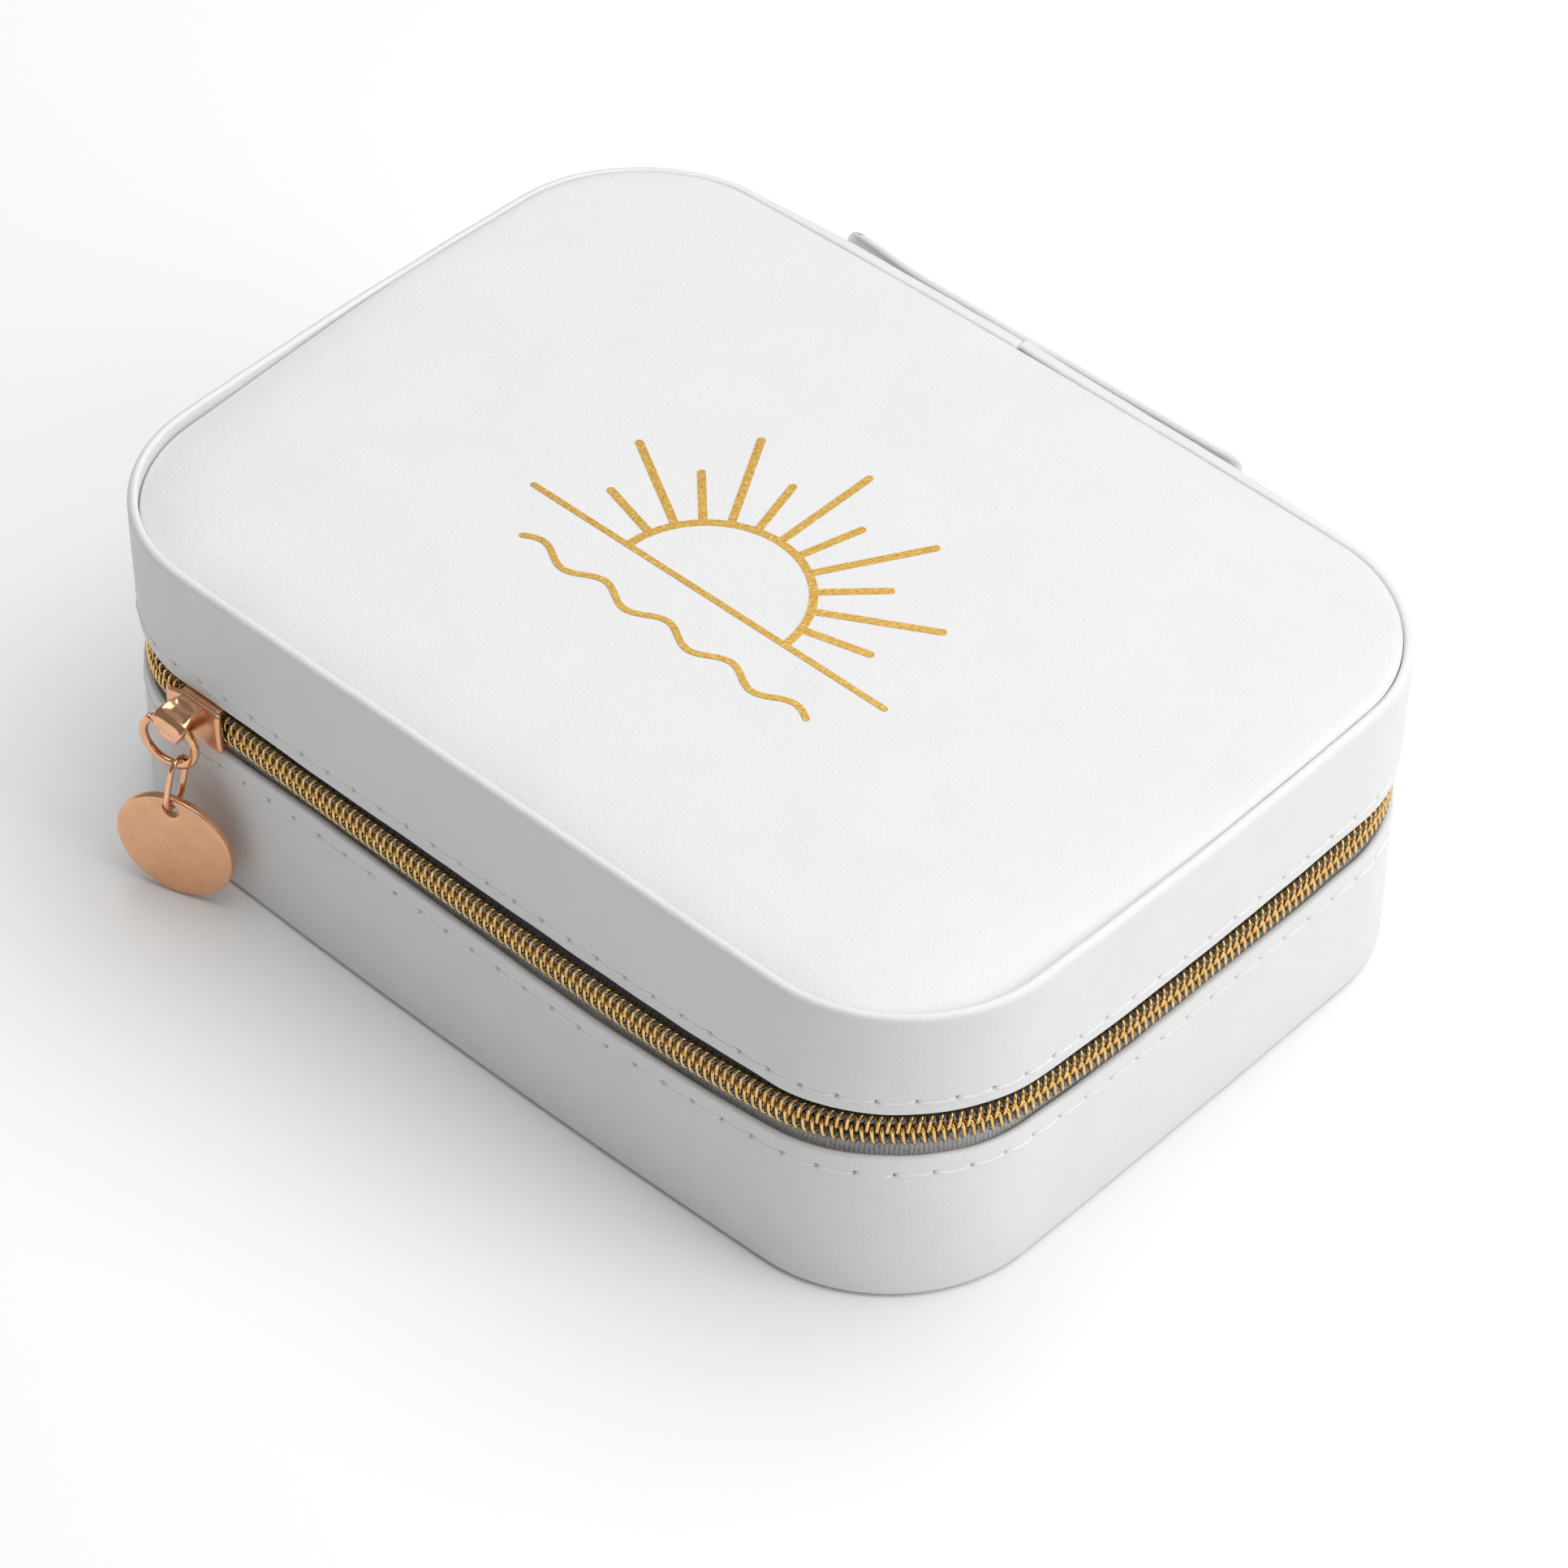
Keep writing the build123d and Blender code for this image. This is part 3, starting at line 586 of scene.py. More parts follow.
LEATHER = leather_material()
HOLE_PAINTED_SHADE = hole_material()
THREAD = thread_material("white_thread", (0.95, 0.95, 0.94))
ZIP_THREAD = thread_material("zipper_thread", (0.36, 0.35, 0.34))
TAPE = tape_material("grey_tape", 0.52)
# Painted shade: a near-black copy of the tape for the rows that lie in shadow under the lid's hem and behind
# the coil
TAPE_PAINTED_SHADE = tape_material("dark_tape", 0.08)
GOLD = gold_wire_material()
FOIL = foil_material()
ROSE = rose_gold_material("rose_gold", 0.11, 0.06)
ROSE_SATIN = rose_gold_material("rose_gold_satin", 0.3, 0.1)
VELVET = velvet_material()
BOARD = board_material()
FOAM = foam_material()
ELASTIC = elastic_material()


# ---- Camera, floor and light ----

CAMERA_AZIMUTH = 42.87
CAMERA_ELEVATION = 44.13
CAMERA_ROLL = 0.40
CAMERA_TARGET = (-5.1, 10.45, 0.0)
CAMERA_DISTANCE = 843.3
CAMERA_LENS = 129.33
WORLD_LIGHT = 0.24

# Soft lights: name, direction, distance and size in metres, power
LIGHTS = (
    ("key", (0.06, 0.25, 0.96), 1.3, 1.8, 18.4),
    ("fill", (0.85, 0.25, 0.46), 1.3, 1.0, 6.4),
)


def make_camera():
    azimuth, elevation, roll = (math.radians(v) for v in (CAMERA_AZIMUTH, CAMERA_ELEVATION, CAMERA_ROLL))
    level = math.cos(elevation)
    back = Vector((math.sin(azimuth) * level, -math.cos(azimuth) * level, math.sin(elevation)))
    right = Vector((0, 0, 1)).cross(back).normalized()
    up = back.cross(right)
    turned_right = math.cos(roll) * right + math.sin(roll) * up
    turned_up = -math.sin(roll) * right + math.cos(roll) * up
    data = bpy.data.cameras.new("camera")
    data.lens = CAMERA_LENS
    data.sensor_width = 36
    data.clip_start = 0.05
    data.clip_end = 20
    camera = bpy.data.objects.new("camera", data)
    bpy.context.scene.collection.objects.link(camera)
    turn = Matrix((turned_right, turned_up, back)).transposed().to_4x4()
    place_at = Vector(CAMERA_TARGET) * MM + back * CAMERA_DISTANCE * MM
    camera.matrix_world = Matrix.Translation(place_at) @ turn
    bpy.context.scene.camera = camera


def make_studio():
    """Plain pale floor, a large soft light overhead and a smaller one from the right."""
    bpy.ops.mesh.primitive_plane_add(size=8, location=(0, 0, 0))
    floor = bpy.context.object
    floor.name = "floor"
    paint = Paint("floor_white", (0.92, 0.92, 0.92), 1.0, Specular_IOR_Level=0.0)
    paint.color(paint.noise(300.0, 1), [(0.0, (0.915, 0.915, 0.915)), (1.0, (0.925, 0.925, 0.925))])
    floor.data.materials.append(paint.material)
    world = bpy.data.worlds.new("studio")
    world.use_nodes = True
    background = world.node_tree.nodes["Background"]
    background.inputs["Color"].default_value = (1, 1, 1, 1)
    background.inputs["Strength"].default_value = WORLD_LIGHT
    bpy.context.scene.world = world
    for name, direction, distance, size, power in LIGHTS:
        data = bpy.data.lights.new(name, "AREA")
        data.shape = "DISK"
        data.size = size
        data.energy = power
        light = bpy.data.objects.new(name, data)
        bpy.context.scene.collection.objects.link(light)
        direction = Vector(direction).normalized()
        light.location = direction * distance
        light.rotation_mode = "QUATERNION"
        light.rotation_quaternion = direction.to_track_quat("Z", "Y")
    bpy.context.scene.view_settings.view_transform = "Standard"


# ---- Leather skins ----

STITCHES = 99
STITCH_PITCH = PERIMETER / STITCHES
STITCH_INSET = 3.05
LID_STITCH_INSET = 2.6
STITCH_ROWS = (-1.6, -1.0, -0.6, -0.4, -0.28, -0.18, -0.09, 0, 0.09, 0.18, 0.28, 0.4, 0.6, 1.0, 1.6)

# Needle holes: the mesh's columns at each, their pits and how much of a pit gets the painted shade of the
# hole's inside
HOLE_COLUMNS = (-2.6, -1.9, -1.3, -0.8, -0.55, -0.38, -0.25, -0.12, 0, 0.12, 0.25, 0.38, 0.55, 0.8, 1.3, 1.9)
HOLE_DEPTH = 0.80
HOLE_LENGTH = 0.48
HOLE_HEIGHT = 0.26
HOLE_SLANT = 0.22
HOLE_SHADE_PIT = 0.36

# Thread between two holes
THREAD_R = 0.23
THREAD_GAP = 0.12
THREAD_SINK = 0.40
THREAD_LIFT = 0.36
THREAD_SAG = 0.22
THREAD_SLANT = 0.12
THREAD_SWAY = 0.05

HEM_R = 0.55
FOOT_R = 1.2
FLANGE_IN = 9.0
FLANGE_LOW = 0.45
FLANGE_TOP = 1.35
RIM_R = 1.0
RIM_INNER_R = 0.55

# The wrap's overlapping end, at the back
SEAM_X = -5.0
SEAM_COLUMNS = (-1.6, -1.0, -0.6, -0.3, -0.14, -0.07, 0, 0.07, 0.14, 0.3, 0.6, 1.0, 1.6)
SEAM_RIDGE = 0.42
SEAM_SPAN = 5.0
SEAM_ROUND = 0.6
SEAM_SLIT = 0.10


def stitch_places(shift):
    return (np.arange(STITCHES) + shift) * STITCH_PITCH


def hole_pits(s, height, holes, hem_side):
    """How strongly the leather is pressed in at the slanted needle holes, from 0 to 1."""
    nearest = np.round(s / STITCH_PITCH - holes[0] / STITCH_PITCH) * STITCH_PITCH + holes[0]
    along = s - nearest
    slant = HOLE_SLANT * hem_side
    u = along + slant * height
    v = height - slant * along
    return np.exp(-(u / HOLE_LENGTH) ** 2 - (v / HOLE_HEIGHT) ** 2)


def stitched_skin(body, profile, stitch_z, hem_side, shift, change, extra_s=()):
    """A stitched leather skin swept round the case; hem_side is +1 when the hem is above the stitches."""
    holes = stitch_places(shift)
    s = (holes[:, None] + np.array(HOLE_COLUMNS)).reshape(-1)
    s = np.unique(np.round(np.concatenate((s, extra_s)), 4))
    profile = np.array(profile)
    near = (profile[:, 0] > -0.02) & (np.abs(profile[:, 1] - stitch_z) < 2)
    offset = np.broadcast_to(profile[:, 0], (len(s), len(profile))).copy()
    z = np.broadcast_to(profile[:, 1], offset.shape).copy()
    columns = s[:, None] + 0 * z
    pit = hole_pits(columns, z - stitch_z, holes, hem_side)
    offset -= np.where(near, pit * HOLE_DEPTH, 0)
    offset, z = change(columns, offset, z, profile)
    middle = np.zeros_like(pit)
    middle[:-1, :-1] = (pit[:-1, :-1] + pit[1:, :-1] + pit[:-1, 1:] + pit[1:, 1:]) / 4
    # Faces deep in a needle hole get the painted shade of the hole's inside
    dark = (middle > HOLE_SHADE_PIT) & near
    shape = Shape()
    shape.grid(place(columns, offset, z), close_u=True, close_v=True, tag=dark.astype(int))
    shape.make(f"{body}_skin", body, [LEATHER, HOLE_PAINTED_SHADE], [f"{body}_wrap"])
    make_stitching(body, stitch_z, hem_side, shift)


def make_stitching(body, stitch_z, hem_side, shift):
    """The thread, one short sagging length between each two needle holes."""
    shape = Shape()
    t = np.linspace(0, 1, 11)
    rise = np.sin(math.pi * t)
    for number, start in enumerate(stitch_places(shift)):
        sway = THREAD_SWAY * math.sin(number * 2.4)
        s = start + THREAD_GAP + (STITCH_PITCH - 2 * THREAD_GAP) * t
        z = stitch_z - THREAD_SAG * rise + hem_side * (THREAD_SLANT * (0.5 - t) + sway * rise)
        offset = -THREAD_SINK + THREAD_LIFT * np.clip(rise * 2.2, 0, 1)
        shape.rod(tube_on_outline(np.stack((s, offset, z), -1), THREAD_R, 8))
    shape.make(f"{body}_stitching", body, [THREAD])


def tube_on_outline(path, radius, sides, level=None, stretch=1.0):
    """Rings of a tube whose path is given as (distance along the outline, offset, height)."""
    tangent = unit(np.gradient(path, axis=0))
    guide = np.where(np.abs(tangent[:, :1]) > 0.75, (0.0, 1.0, 0.0), (1.0, 0.0, 0.0))
    side = unit(guide - (guide * tangent).sum(1)[:, None] * tangent)
    other = np.cross(tangent, side)
    angle = TURN * np.arange(sides) / sides
    radius = np.broadcast_to(radius, len(path))[:, None, None]
    stretch = np.broadcast_to(stretch, len(path))[:, None, None]
    across = stretch * np.cos(angle)[:, None] * side[:, None]
    ring = path[:, None] + radius * (across + np.sin(angle)[:, None] * other[:, None])
    return place(ring[..., 0], ring[..., 1], ring[..., 2], level)


def make_base_skin():
    stitch_z = BASE_HEM - STITCH_INSET
    profile = [(-FLANGE_IN, FLANGE_LOW + 0.2), (-FLANGE_IN + 0.3, FLANGE_LOW), (-6.0, FLANGE_LOW)]
    profile += [(-2.6, FLANGE_LOW), (-1.9, FLANGE_LOW - 0.15)]
    profile += arc_profile(-FOOT_R, FLANGE_LOW - 0.25 + FOOT_R, FOOT_R, -90, 0, 8)
    profile += [(0, z) for z in (4.5, 7, 9.5, 12, 14.5, 17, 19, 20.2)]
    profile += [(0, stitch_z + row) for row in STITCH_ROWS]
    profile += arc_profile(-HEM_R, BASE_HEM - HEM_R, HEM_R, 0, 180, 10)
    profile += [(-SKIN_T, z) for z in (24.2, 22, 16, 9, 3.6)]
    profile += [(-1.5, 2.2), (-2.4, 1.6), (-4.0, FLANGE_TOP), (-6.5, FLANGE_TOP)]
    profile += [(-FLANGE_IN + 0.2, FLANGE_TOP), (-FLANGE_IN, FLANGE_TOP - 0.2)]

    def soften(s, offset, z, rows):
        near_hem = np.clip((rows[:, 1] - 16) / 9, 0, 1)
        wall = np.clip(rows[:, 1] / 4, 0, 1)
        z = z + near_hem * 0.10 * wander(s, 3.0, 60)
        offset = offset + wall * 0.07 * wander(s + 1.3 * z, 5.0, 70)
        return offset, z

    stitched_skin("base", profile, stitch_z, 1, 0.35, soften)


def make_lid_skin():
    stitch_z = LID_HEM + LID_STITCH_INSET
    profile = arc_profile(-HEM_R, LID_HEM + HEM_R, HEM_R, 180, 360, 10)
    profile += [(0, stitch_z + row) for row in STITCH_ROWS]
    profile += [(0, z) for z in (40.5, 42.5, 45, 47.5, 50, 52, 53.6)]
    profile += arc_profile(-RIM_R, RIM_Z - RIM_R, RIM_R, 0, 90, 7)
    profile += arc_profile(RIM_INNER_R - RIM_WIDTH, RIM_Z - RIM_INNER_R, RIM_INNER_R, 90, 180, 7)
    profile += [(-RIM_WIDTH, z) for z in (53.7, 52.9, 52.4)] + [(-1.3, 52.1)]
    profile += [(-SKIN_T, z) for z in (51.6, 48, 43, 39, 36.5)]
    seam = back_s(SEAM_X)

    def overlap(s, offset, z, rows):
        """The seam's ridge and slit, the wider rim at the back, and a slight unevenness."""
        ahead = seam - s
        ridge = np.where(ahead > 0, np.exp(-np.abs(ahead) / SEAM_SPAN), 0) * SEAM_RIDGE
        ridge = ridge * np.where(ahead > 0, np.clip(ahead / SEAM_ROUND, 0, 1) ** 0.5, 1)
        slit = hump(ahead, 0, SEAM_SLIT)
        outside = np.where((rows[:, 0] > -RIM_WIDTH - 0.01) & (rows[:, 1] > 35), 1.0, 0.0)
        offset = offset + outside * (ridge - 0.35 * slit)
        top = np.clip((rows[:, 1] - 53.5) / 1.5, 0, 1)
        z = z + top * outside * (ridge * 0.5 - 0.45 * slit)
        z = z + np.clip((42 - rows[:, 1]) / 7, 0, 1) * 0.10 * wander(s, 1.0, 60)
        upper = np.clip((rows[:, 1] - 46) / 7, 0, 1) * (rows[:, 0] > -0.9)
        offset = offset + REAR_RIM * upper * along_back(s)
        offset = offset + 0.05 * wander(s + 1.1 * z, 2.0, 80)
        return offset, z + top * 0.06 * wander(s, 6.0, 40)

    stitched_skin("lid", profile, stitch_z, -1, 0.8, overlap, seam + np.array(SEAM_COLUMNS))


# ---- Plates that fill the outline ----

PLATE_DEPTHS = (0, 0.15, 0.35, 0.6, 1.0, 1.6, 2.4, 3.4, 4.6, 6, 8, 10.5, 13, 16, 19)
PLATE_RINGS = 20
DEEP = 99.0


def filled_plate(name, body, start, top, bottom, material, node, depths=PLATE_DEPTHS, columns=420):
    """A closed plate whose edge lies start inside the outline; top and bottom give heights from depth."""
    s = np.linspace(0, PERIMETER, columns, endpoint=False)
    rings = [flat_place(s, -start - d, 0.0) for d in depths]
    rings += [rings[-1] * share for share in np.linspace(1, 0, PLATE_RINGS + 2)[1:-1]]
    grid = np.array(rings)
    depth = np.array([*depths, *[depths[-1] + 1.0] * PLATE_RINGS])[:, None] + 0 * grid[..., 0]
    shape = Shape()
    index = []
    for heights in (top, bottom):
        side = grid.copy()
        side[..., 2] = heights(depth, side[..., 0], side[..., 1])
        index.append(shape.grid(warp(side), close_v=True))
        shape.fan(index[-1][-1], warp(np.array((0.0, 0.0, heights(DEEP, 0.0, 0.0)))))
    shape.strip(index[0][0], index[1][0])
    return shape.make(name, body, [material], [node])


PANEL_DEPTHS = (
    0, 0.12, 0.25, 0.4, 0.6, 0.85, 1.2, 1.6, 2.1, 2.7, 3.4, 4.2, 5.2, 6.4, 7.8, 9.4, 11.2, 13.2, 15.4, 17.8,
    20.4, 23.0,
)
PANEL_TUCK = 0.6
PANEL_TUCK_SPAN = 0.45
PANEL_FOLD = (0.3, 1.2)
PANEL_FOLD_SPAN = 3.0
PANEL_SLOPE = 1.3
PANEL_SLOPE_SPAN = 9.0
PANEL_T = 0.9
FOAM_IN = 0.6
FOAM_LOW = 52.25


def panel_height(depth, x, y):
    """The padded panel: tucked in at the rim, level in the middle, sloping down along the front."""
    front = eased(np.clip((15 - y) / 55, 0, 1))
    fold = PANEL_FOLD[0] + (PANEL_FOLD[1] - PANEL_FOLD[0]) * front
    far = np.clip((np.hypot(x / 60, y / 42) - 0.75) / 0.25, 0, 1)
    waviness = 0.05 * far * (np.sin(x / 9.0 + 1.0) * np.sin(y / 11.0 + 0.4) + 0.5 * np.sin(x / 5.3 - y / 7.1))
    drop = PANEL_TUCK * np.exp(-depth / PANEL_TUCK_SPAN) + fold * np.exp(-depth / PANEL_FOLD_SPAN)
    drop = drop + PANEL_SLOPE * front * np.exp(-depth / PANEL_SLOPE_SPAN)
    return PANEL_Z - drop + waviness * np.clip(depth / 6, 0, 1)


def make_top_panel():
    start = RIM_WIDTH + PANEL_GAP
    panel = filled_plate(
        "lid_top_panel", "lid", start, panel_height, lambda d, x, y: panel_height(d, x, y) - PANEL_T,
        LEATHER, "lid_top_cover", PANEL_DEPTHS, 900,
    )
    foam = filled_plate(
        "lid_foam", "lid", start + FOAM_IN, lambda d, x, y: panel_height(d + FOAM_IN, x, y) - PANEL_T - 0.1,
        lambda d, x, y: FOAM_LOW + 0 * d, FOAM, "lid_foam_pad",
    )


def make_bottom():
    filled_plate(
        "base_underside", "base", 2.2, lambda d, x, y: FLANGE_LOW - 0.01 + 0 * d,
        lambda d, x, y: 0.22 * np.exp(-d / 0.2), LEATHER, "base_bottom_cover",
    )


# ---- Boards and linings ----

LINING_T = 0.75
LINING_ROUGH = 0.04


def ring_piece(name, body, profile, material, node, roughen=0.0):
    """A closed band with a constant profile, swept round the case."""
    profile = np.array(profile)
    s = np.linspace(0, PERIMETER, 560, endpoint=False)[:, None]
    offset = profile[:, 0] + roughen * wander(s + 2 * profile[:, 1], 4.0, 22)
    shape = Shape()
    shape.grid(place(s, offset, profile[:, 1] + 0 * s), close_u=True, close_v=True)
    shape.make(name, body, [material], [node])


def make_boards():
    edge, cut = 0.25, 0.15
    for body, low, middle, high in (("base", 1.4, 12, BASE_HEM - 0.6), ("lid", LID_HEM + 0.6, 44, 52.0)):
        outer = [(-BOARD_OUT - cut, low), *((-BOARD_OUT, z) for z in (low + edge, middle, high - edge))]
        outer += [(-BOARD_OUT - cut, high), (-BOARD_IN + edge, high)]
        inner = [(-BOARD_IN, z) for z in (high - edge, middle, low + edge)]
        ring_piece(f"{body}_board", body, outer + inner, BOARD, f"{body}_wall_board")


def make_linings():
    """Velvet over the walls, turned over the boards' edges; floor and ceiling."""
    top = BASE_HEM - 0.1 - LINING_T
    bottom = LID_HEM + 0.1 + LINING_T
    roll = (LINING_IN - 1.15) / 2
    mid = -(LINING_IN + 1.15) / 2
    turn = np.linspace(0, math.pi, 11)
    profile = [(mid + roll * math.cos(a), top + LINING_T * math.sin(a)) for a in turn]
    profile += [(-LINING_IN, z) for z in (22, 17, 12, 8, 5, 3.9)] + [(-3.1, z) for z in (3.9, 8, 15, 22)]
    profile += [(-3.0, top - 0.1), (-2.0, top)]
    ring_piece("base_wall_lining", "base", profile, VELVET, "base_lining_wall", LINING_ROUGH)
    profile = [(mid + roll * math.cos(a), bottom - LINING_T * math.sin(a)) for a in turn[::-1]]
    profile += [(-2.0, bottom), (-3.0, bottom + 0.1)] + [(-3.1, z) for z in (38, 42, 49.3)]
    profile += [(-LINING_IN, z) for z in (49.3, 46, 42, 38)]
    ring_piece("lid_wall_lining", "lid", profile, VELVET, "lid_lining_wall", LINING_ROUGH)

    def raised(d, x, y):
        """How much the velvet ripples and rises at its edge."""
        return 0.08 * np.sin(x / 13 + 0.6) * np.sin(y / 9 + 1.1) + 0.5 * np.exp(-d / 0.8)

    edge = LINING_IN - 0.1
    filled_plate(
        "base_floor_lining", "base", edge, lambda d, x, y: FLOOR_Z + raised(d, x, y),
        lambda d, x, y: FLOOR_Z - LINING_T + 0 * d, VELVET, "base_lining_floor",
    )
    filled_plate(
        "lid_ceiling_lining", "lid", edge, lambda d, x, y: CEILING_Z + LINING_T + 0 * d,
        lambda d, x, y: CEILING_Z - raised(d, x, y), VELVET, "lid_lining_top",
    )


# ---- Zipper ----

COIL_PITCH = 1.4
COIL_WIRE = 0.27
COIL_DEPTH = 0.62
COIL_LEAN = 0.12
COIL_STEPS = 18
INTERLOCK = 1.35
CHAIN_HEIGHT = 5.5
ZIP_START = back_s(ZIP_END_X)
OPEN_FROM = -62.0
OPEN_SPAN = 9.0
OPEN_GAP = 1.45
TAPE_STEP = 0.14
TAPE_END = 8.0
TAPE_T = 0.42
TAPE_RIB = 0.09
RIB_PITCH = 0.7
STOP_LENGTH = 2.9


def chain_face(s):
    """Offset of the chain's outer face from the walls beside it."""
    sides = 0.48 - 0.3 * hump(from_front(s), -46, 16)
    return sides + (-0.57 - sides) * cornerness(s)


def parting(s):
    """How far each row stands off its closed place, left of the slider."""
    return OPEN_GAP * eased(np.clip((OPEN_FROM - from_front(s)) / OPEN_SPAN, 0, 1))


def make_tape(name, body, side, node):
    """Woven tape with upright ribs, from behind the leather to the back of the coil, and under the hinge."""
    end = ZIP_START + TAPE_END
    s = np.linspace(-end, end, int(round(2 * end / TAPE_STEP)) + 1)[:, None]
    hem = BASE_HEM if side < 0 else LID_HEM
    back = chain_face(s) - 2 * COIL_WIRE - 2 * COIL_DEPTH + 0.1
    root = np.full_like(s, -1.35)
    # Offset, height, and how much the row follows the parting and bows with the chain
    rows = [
        (root, hem + side * 7.5, 0, 0), (root, hem + side * 3.0, 0, 0), (root, hem + side * 0.6, 0, 0),
        (0.5 * (root + back), hem - side * 1.3, 0.4, 0.5), (back, ZIP_MID + side * 2.2, 1, 1),
        (back, ZIP_MID + side * 1.2, 1, 1), (back, ZIP_MID + side * 0.35, 1, 1),
    ]
    rib = TAPE_RIB * np.cos(TURN * s / RIB_PITCH)
    columns = []
    for behind, order in ((0, rows), (TAPE_T, rows[::-1])):
        for offset, z, follow, at_chain in order:
            level = z * (1 - at_chain) + ZIP_MID * at_chain
            columns.append((offset - behind + rib, z + follow * side * parting(s), level + 0 * s))
    offset, z, level = (np.hstack(one) for one in zip(*columns))
    # Rows that get the painted-shade tape, along the chain only: all of the upper tape's outer rows under the
    # lid's hem, and the lower tape's rows behind the coil
    dark = np.array(([1] * 7 if side > 0 else [0, 0, 0, 0, 1, 1, 1]) + [0] * 7)
    shape = Shape()
    shape.rod(place(s, offset, z, level), tag=np.where(np.abs(s[:-1]) < ZIP_START - 1.0, dark, 0))
    shape.make(name, body, [TAPE, TAPE_PAINTED_SHADE], [node])


def make_coil(name, body, side, node):
    """One row: a flattened helix with its thicker heads at the middle of the zipper."""
    turns = int(2 * (ZIP_START - 1.2) / COIL_PITCH)
    t = np.arange(turns * COIL_STEPS + 1) / COIL_STEPS
    phase = TURN * t
    shift = 0.5 * COIL_PITCH if side > 0 else 0
    s = (t - turns / 2 - COIL_LEAN * np.sin(phase)) * COIL_PITCH + shift
    half_height = (CHAIN_HEIGHT + INTERLOCK) / 4 - COIL_WIRE
    middle = ZIP_MID + side * (CHAIN_HEIGHT - INTERLOCK) / 4
    up = np.cos(phase)
    z = middle - side * half_height * np.sign(up) * np.abs(up) ** 0.86 + side * parting(s)
    offset = chain_face(s) - COIL_WIRE - COIL_DEPTH + COIL_DEPTH * np.sin(phase)
    head = np.clip(up, 0, 1) ** 2
    shape = Shape()
    path = np.stack((s, offset, z), -1)
    shape.rod(tube_on_outline(path, COIL_WIRE * (1 + 0.06 * head), 8, ZIP_MID, 1 + 0.16 * head))
    shape.make(name, body, [GOLD], [node])


def make_zip_thread(name, body, side):
    """The sewing thread that holds a row to its tape: it crosses over the coil near its feet."""
    turns = int(2 * (ZIP_START - 1.5) / COIL_PITCH)
    steps = 8
    t = np.arange(turns * steps + 1) / steps
    s = (t - turns / 2) * COIL_PITCH
    shape = Shape()
    for height, phase in ((1.95, 0.0), (1.45, 0.5)):
        wave = np.cos(TURN * (t + phase))
        offset = chain_face(s) - COIL_WIRE - COIL_DEPTH - 0.05 + (COIL_DEPTH + 0.22) * wave
        z = ZIP_MID + side * (height + 0.08 * np.sin(TURN * t)) + side * parting(s)
        shape.rod(tube_on_outline(np.stack((s, offset, z), -1), 0.13, 6, ZIP_MID))
    shape.make(name, body, [ZIP_THREAD])


def make_stops(name, body, side, node):
    """Clamped end stops."""
    shape = Shape()
    z0, z1 = sorted((ZIP_MID + side * 0.25, ZIP_MID + side * 2.75))
    for x0 in (-ZIP_END_X + 0.1, ZIP_END_X - 0.1 - STOP_LENGTH):
        low = (x0, HALF_WIDTH - 1.45, z0)
        high = (x0 + STOP_LENGTH, HALF_WIDTH + 0.45, z1)
        shape.box(low, high, (0.4, 0.4, 0.4), (6, 4, 6), warp)
    shape.make(name, body, [GOLD], [node], weld=True)


def make_zipper():
    rows = (("lower", "base", -1), ("upper", "lid", 1))
    for part, make in (("tape", make_tape), ("coil", make_coil)):
        for row, body, side in rows:
            make(f"{part}_{row}", body, side, f"zipper_{part}_{row}")
    for row, body, side in rows:
        make_zip_thread(f"coil_stitching_{row}", body, side)
    for row, body, side in rows:
        make_stops(f"stops_{row}", body, side, f"zipper_stops_{row}")


# ---- Hinge at the back ----

PATCH_T = 1.1
PATCH_ROUND = 2.0
PATCH_SHIFT = 2.5
PATCH_RISE = 1.2
HINGE_LINING_T = 0.55
HINGE_LINING_ROUND = 1.5


def hinge_sheet(name, node, low, high, path, thick, corner, material, flare=None):
    """A strip across the hinge that stands for node's two halves; path is its inner side as (y, z)."""
    path = np.asarray(path, float)
    length = np.concatenate(([0], np.cumsum(np.hypot(*np.diff(path, axis=0).T))))
    end = length[-1]
    middle = np.linspace(corner, end - corner, 74)
    rows = np.concatenate((np.linspace(0, corner, 9)[:-1], middle, np.linspace(end - corner, end, 9)[1:]))
    y = np.interp(rows, length, path[:, 0])
    z = np.interp(rows, length, path[:, 1])
    tangent = unit(np.gradient(np.stack((y, z), -1), rows, axis=0))
    normal = np.stack((tangent[:, 1], -tangent[:, 0]), -1)
    from_end = np.minimum(rows, end - rows)
    inset = rounded_drop(from_end, corner)
    across = np.concatenate((
        np.linspace(0, 0.06, 5)[:-1], np.linspace(0.06, 0.94, 40), np.linspace(0.94, 1, 5)[1:],
    ))
    left, right = low[0] + inset[:, None], high[0] - inset[:, None]
    x = left + (right - left) * across
    edge = np.minimum(np.minimum(x - left, right - x), from_end[:, None])
    drop = rounded_drop(edge, thick / 2)
    lift = 0 if flare is None else flare(x, z[:, None] + 0 * x)
    shape = Shape()
    sides = []
    for out in (drop + lift, thick - drop + lift):
        points = (x, y[:, None] + out * normal[:, :1], z[:, None] + out * normal[:, 1:])
        sides.append(warp(np.stack(points, -1)))
    shape.slab(sides)
    piece = shape.make(name, None, [material], [f"{node}_lower", f"{node}_upper"])
    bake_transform(piece)


def rounded_drop(away, radius):
    """How far a round edge of that radius lies back, away from its outermost line."""
    return radius - np.sqrt(np.clip(radius ** 2 - np.clip(radius - away, 0, radius) ** 2, 0, None))


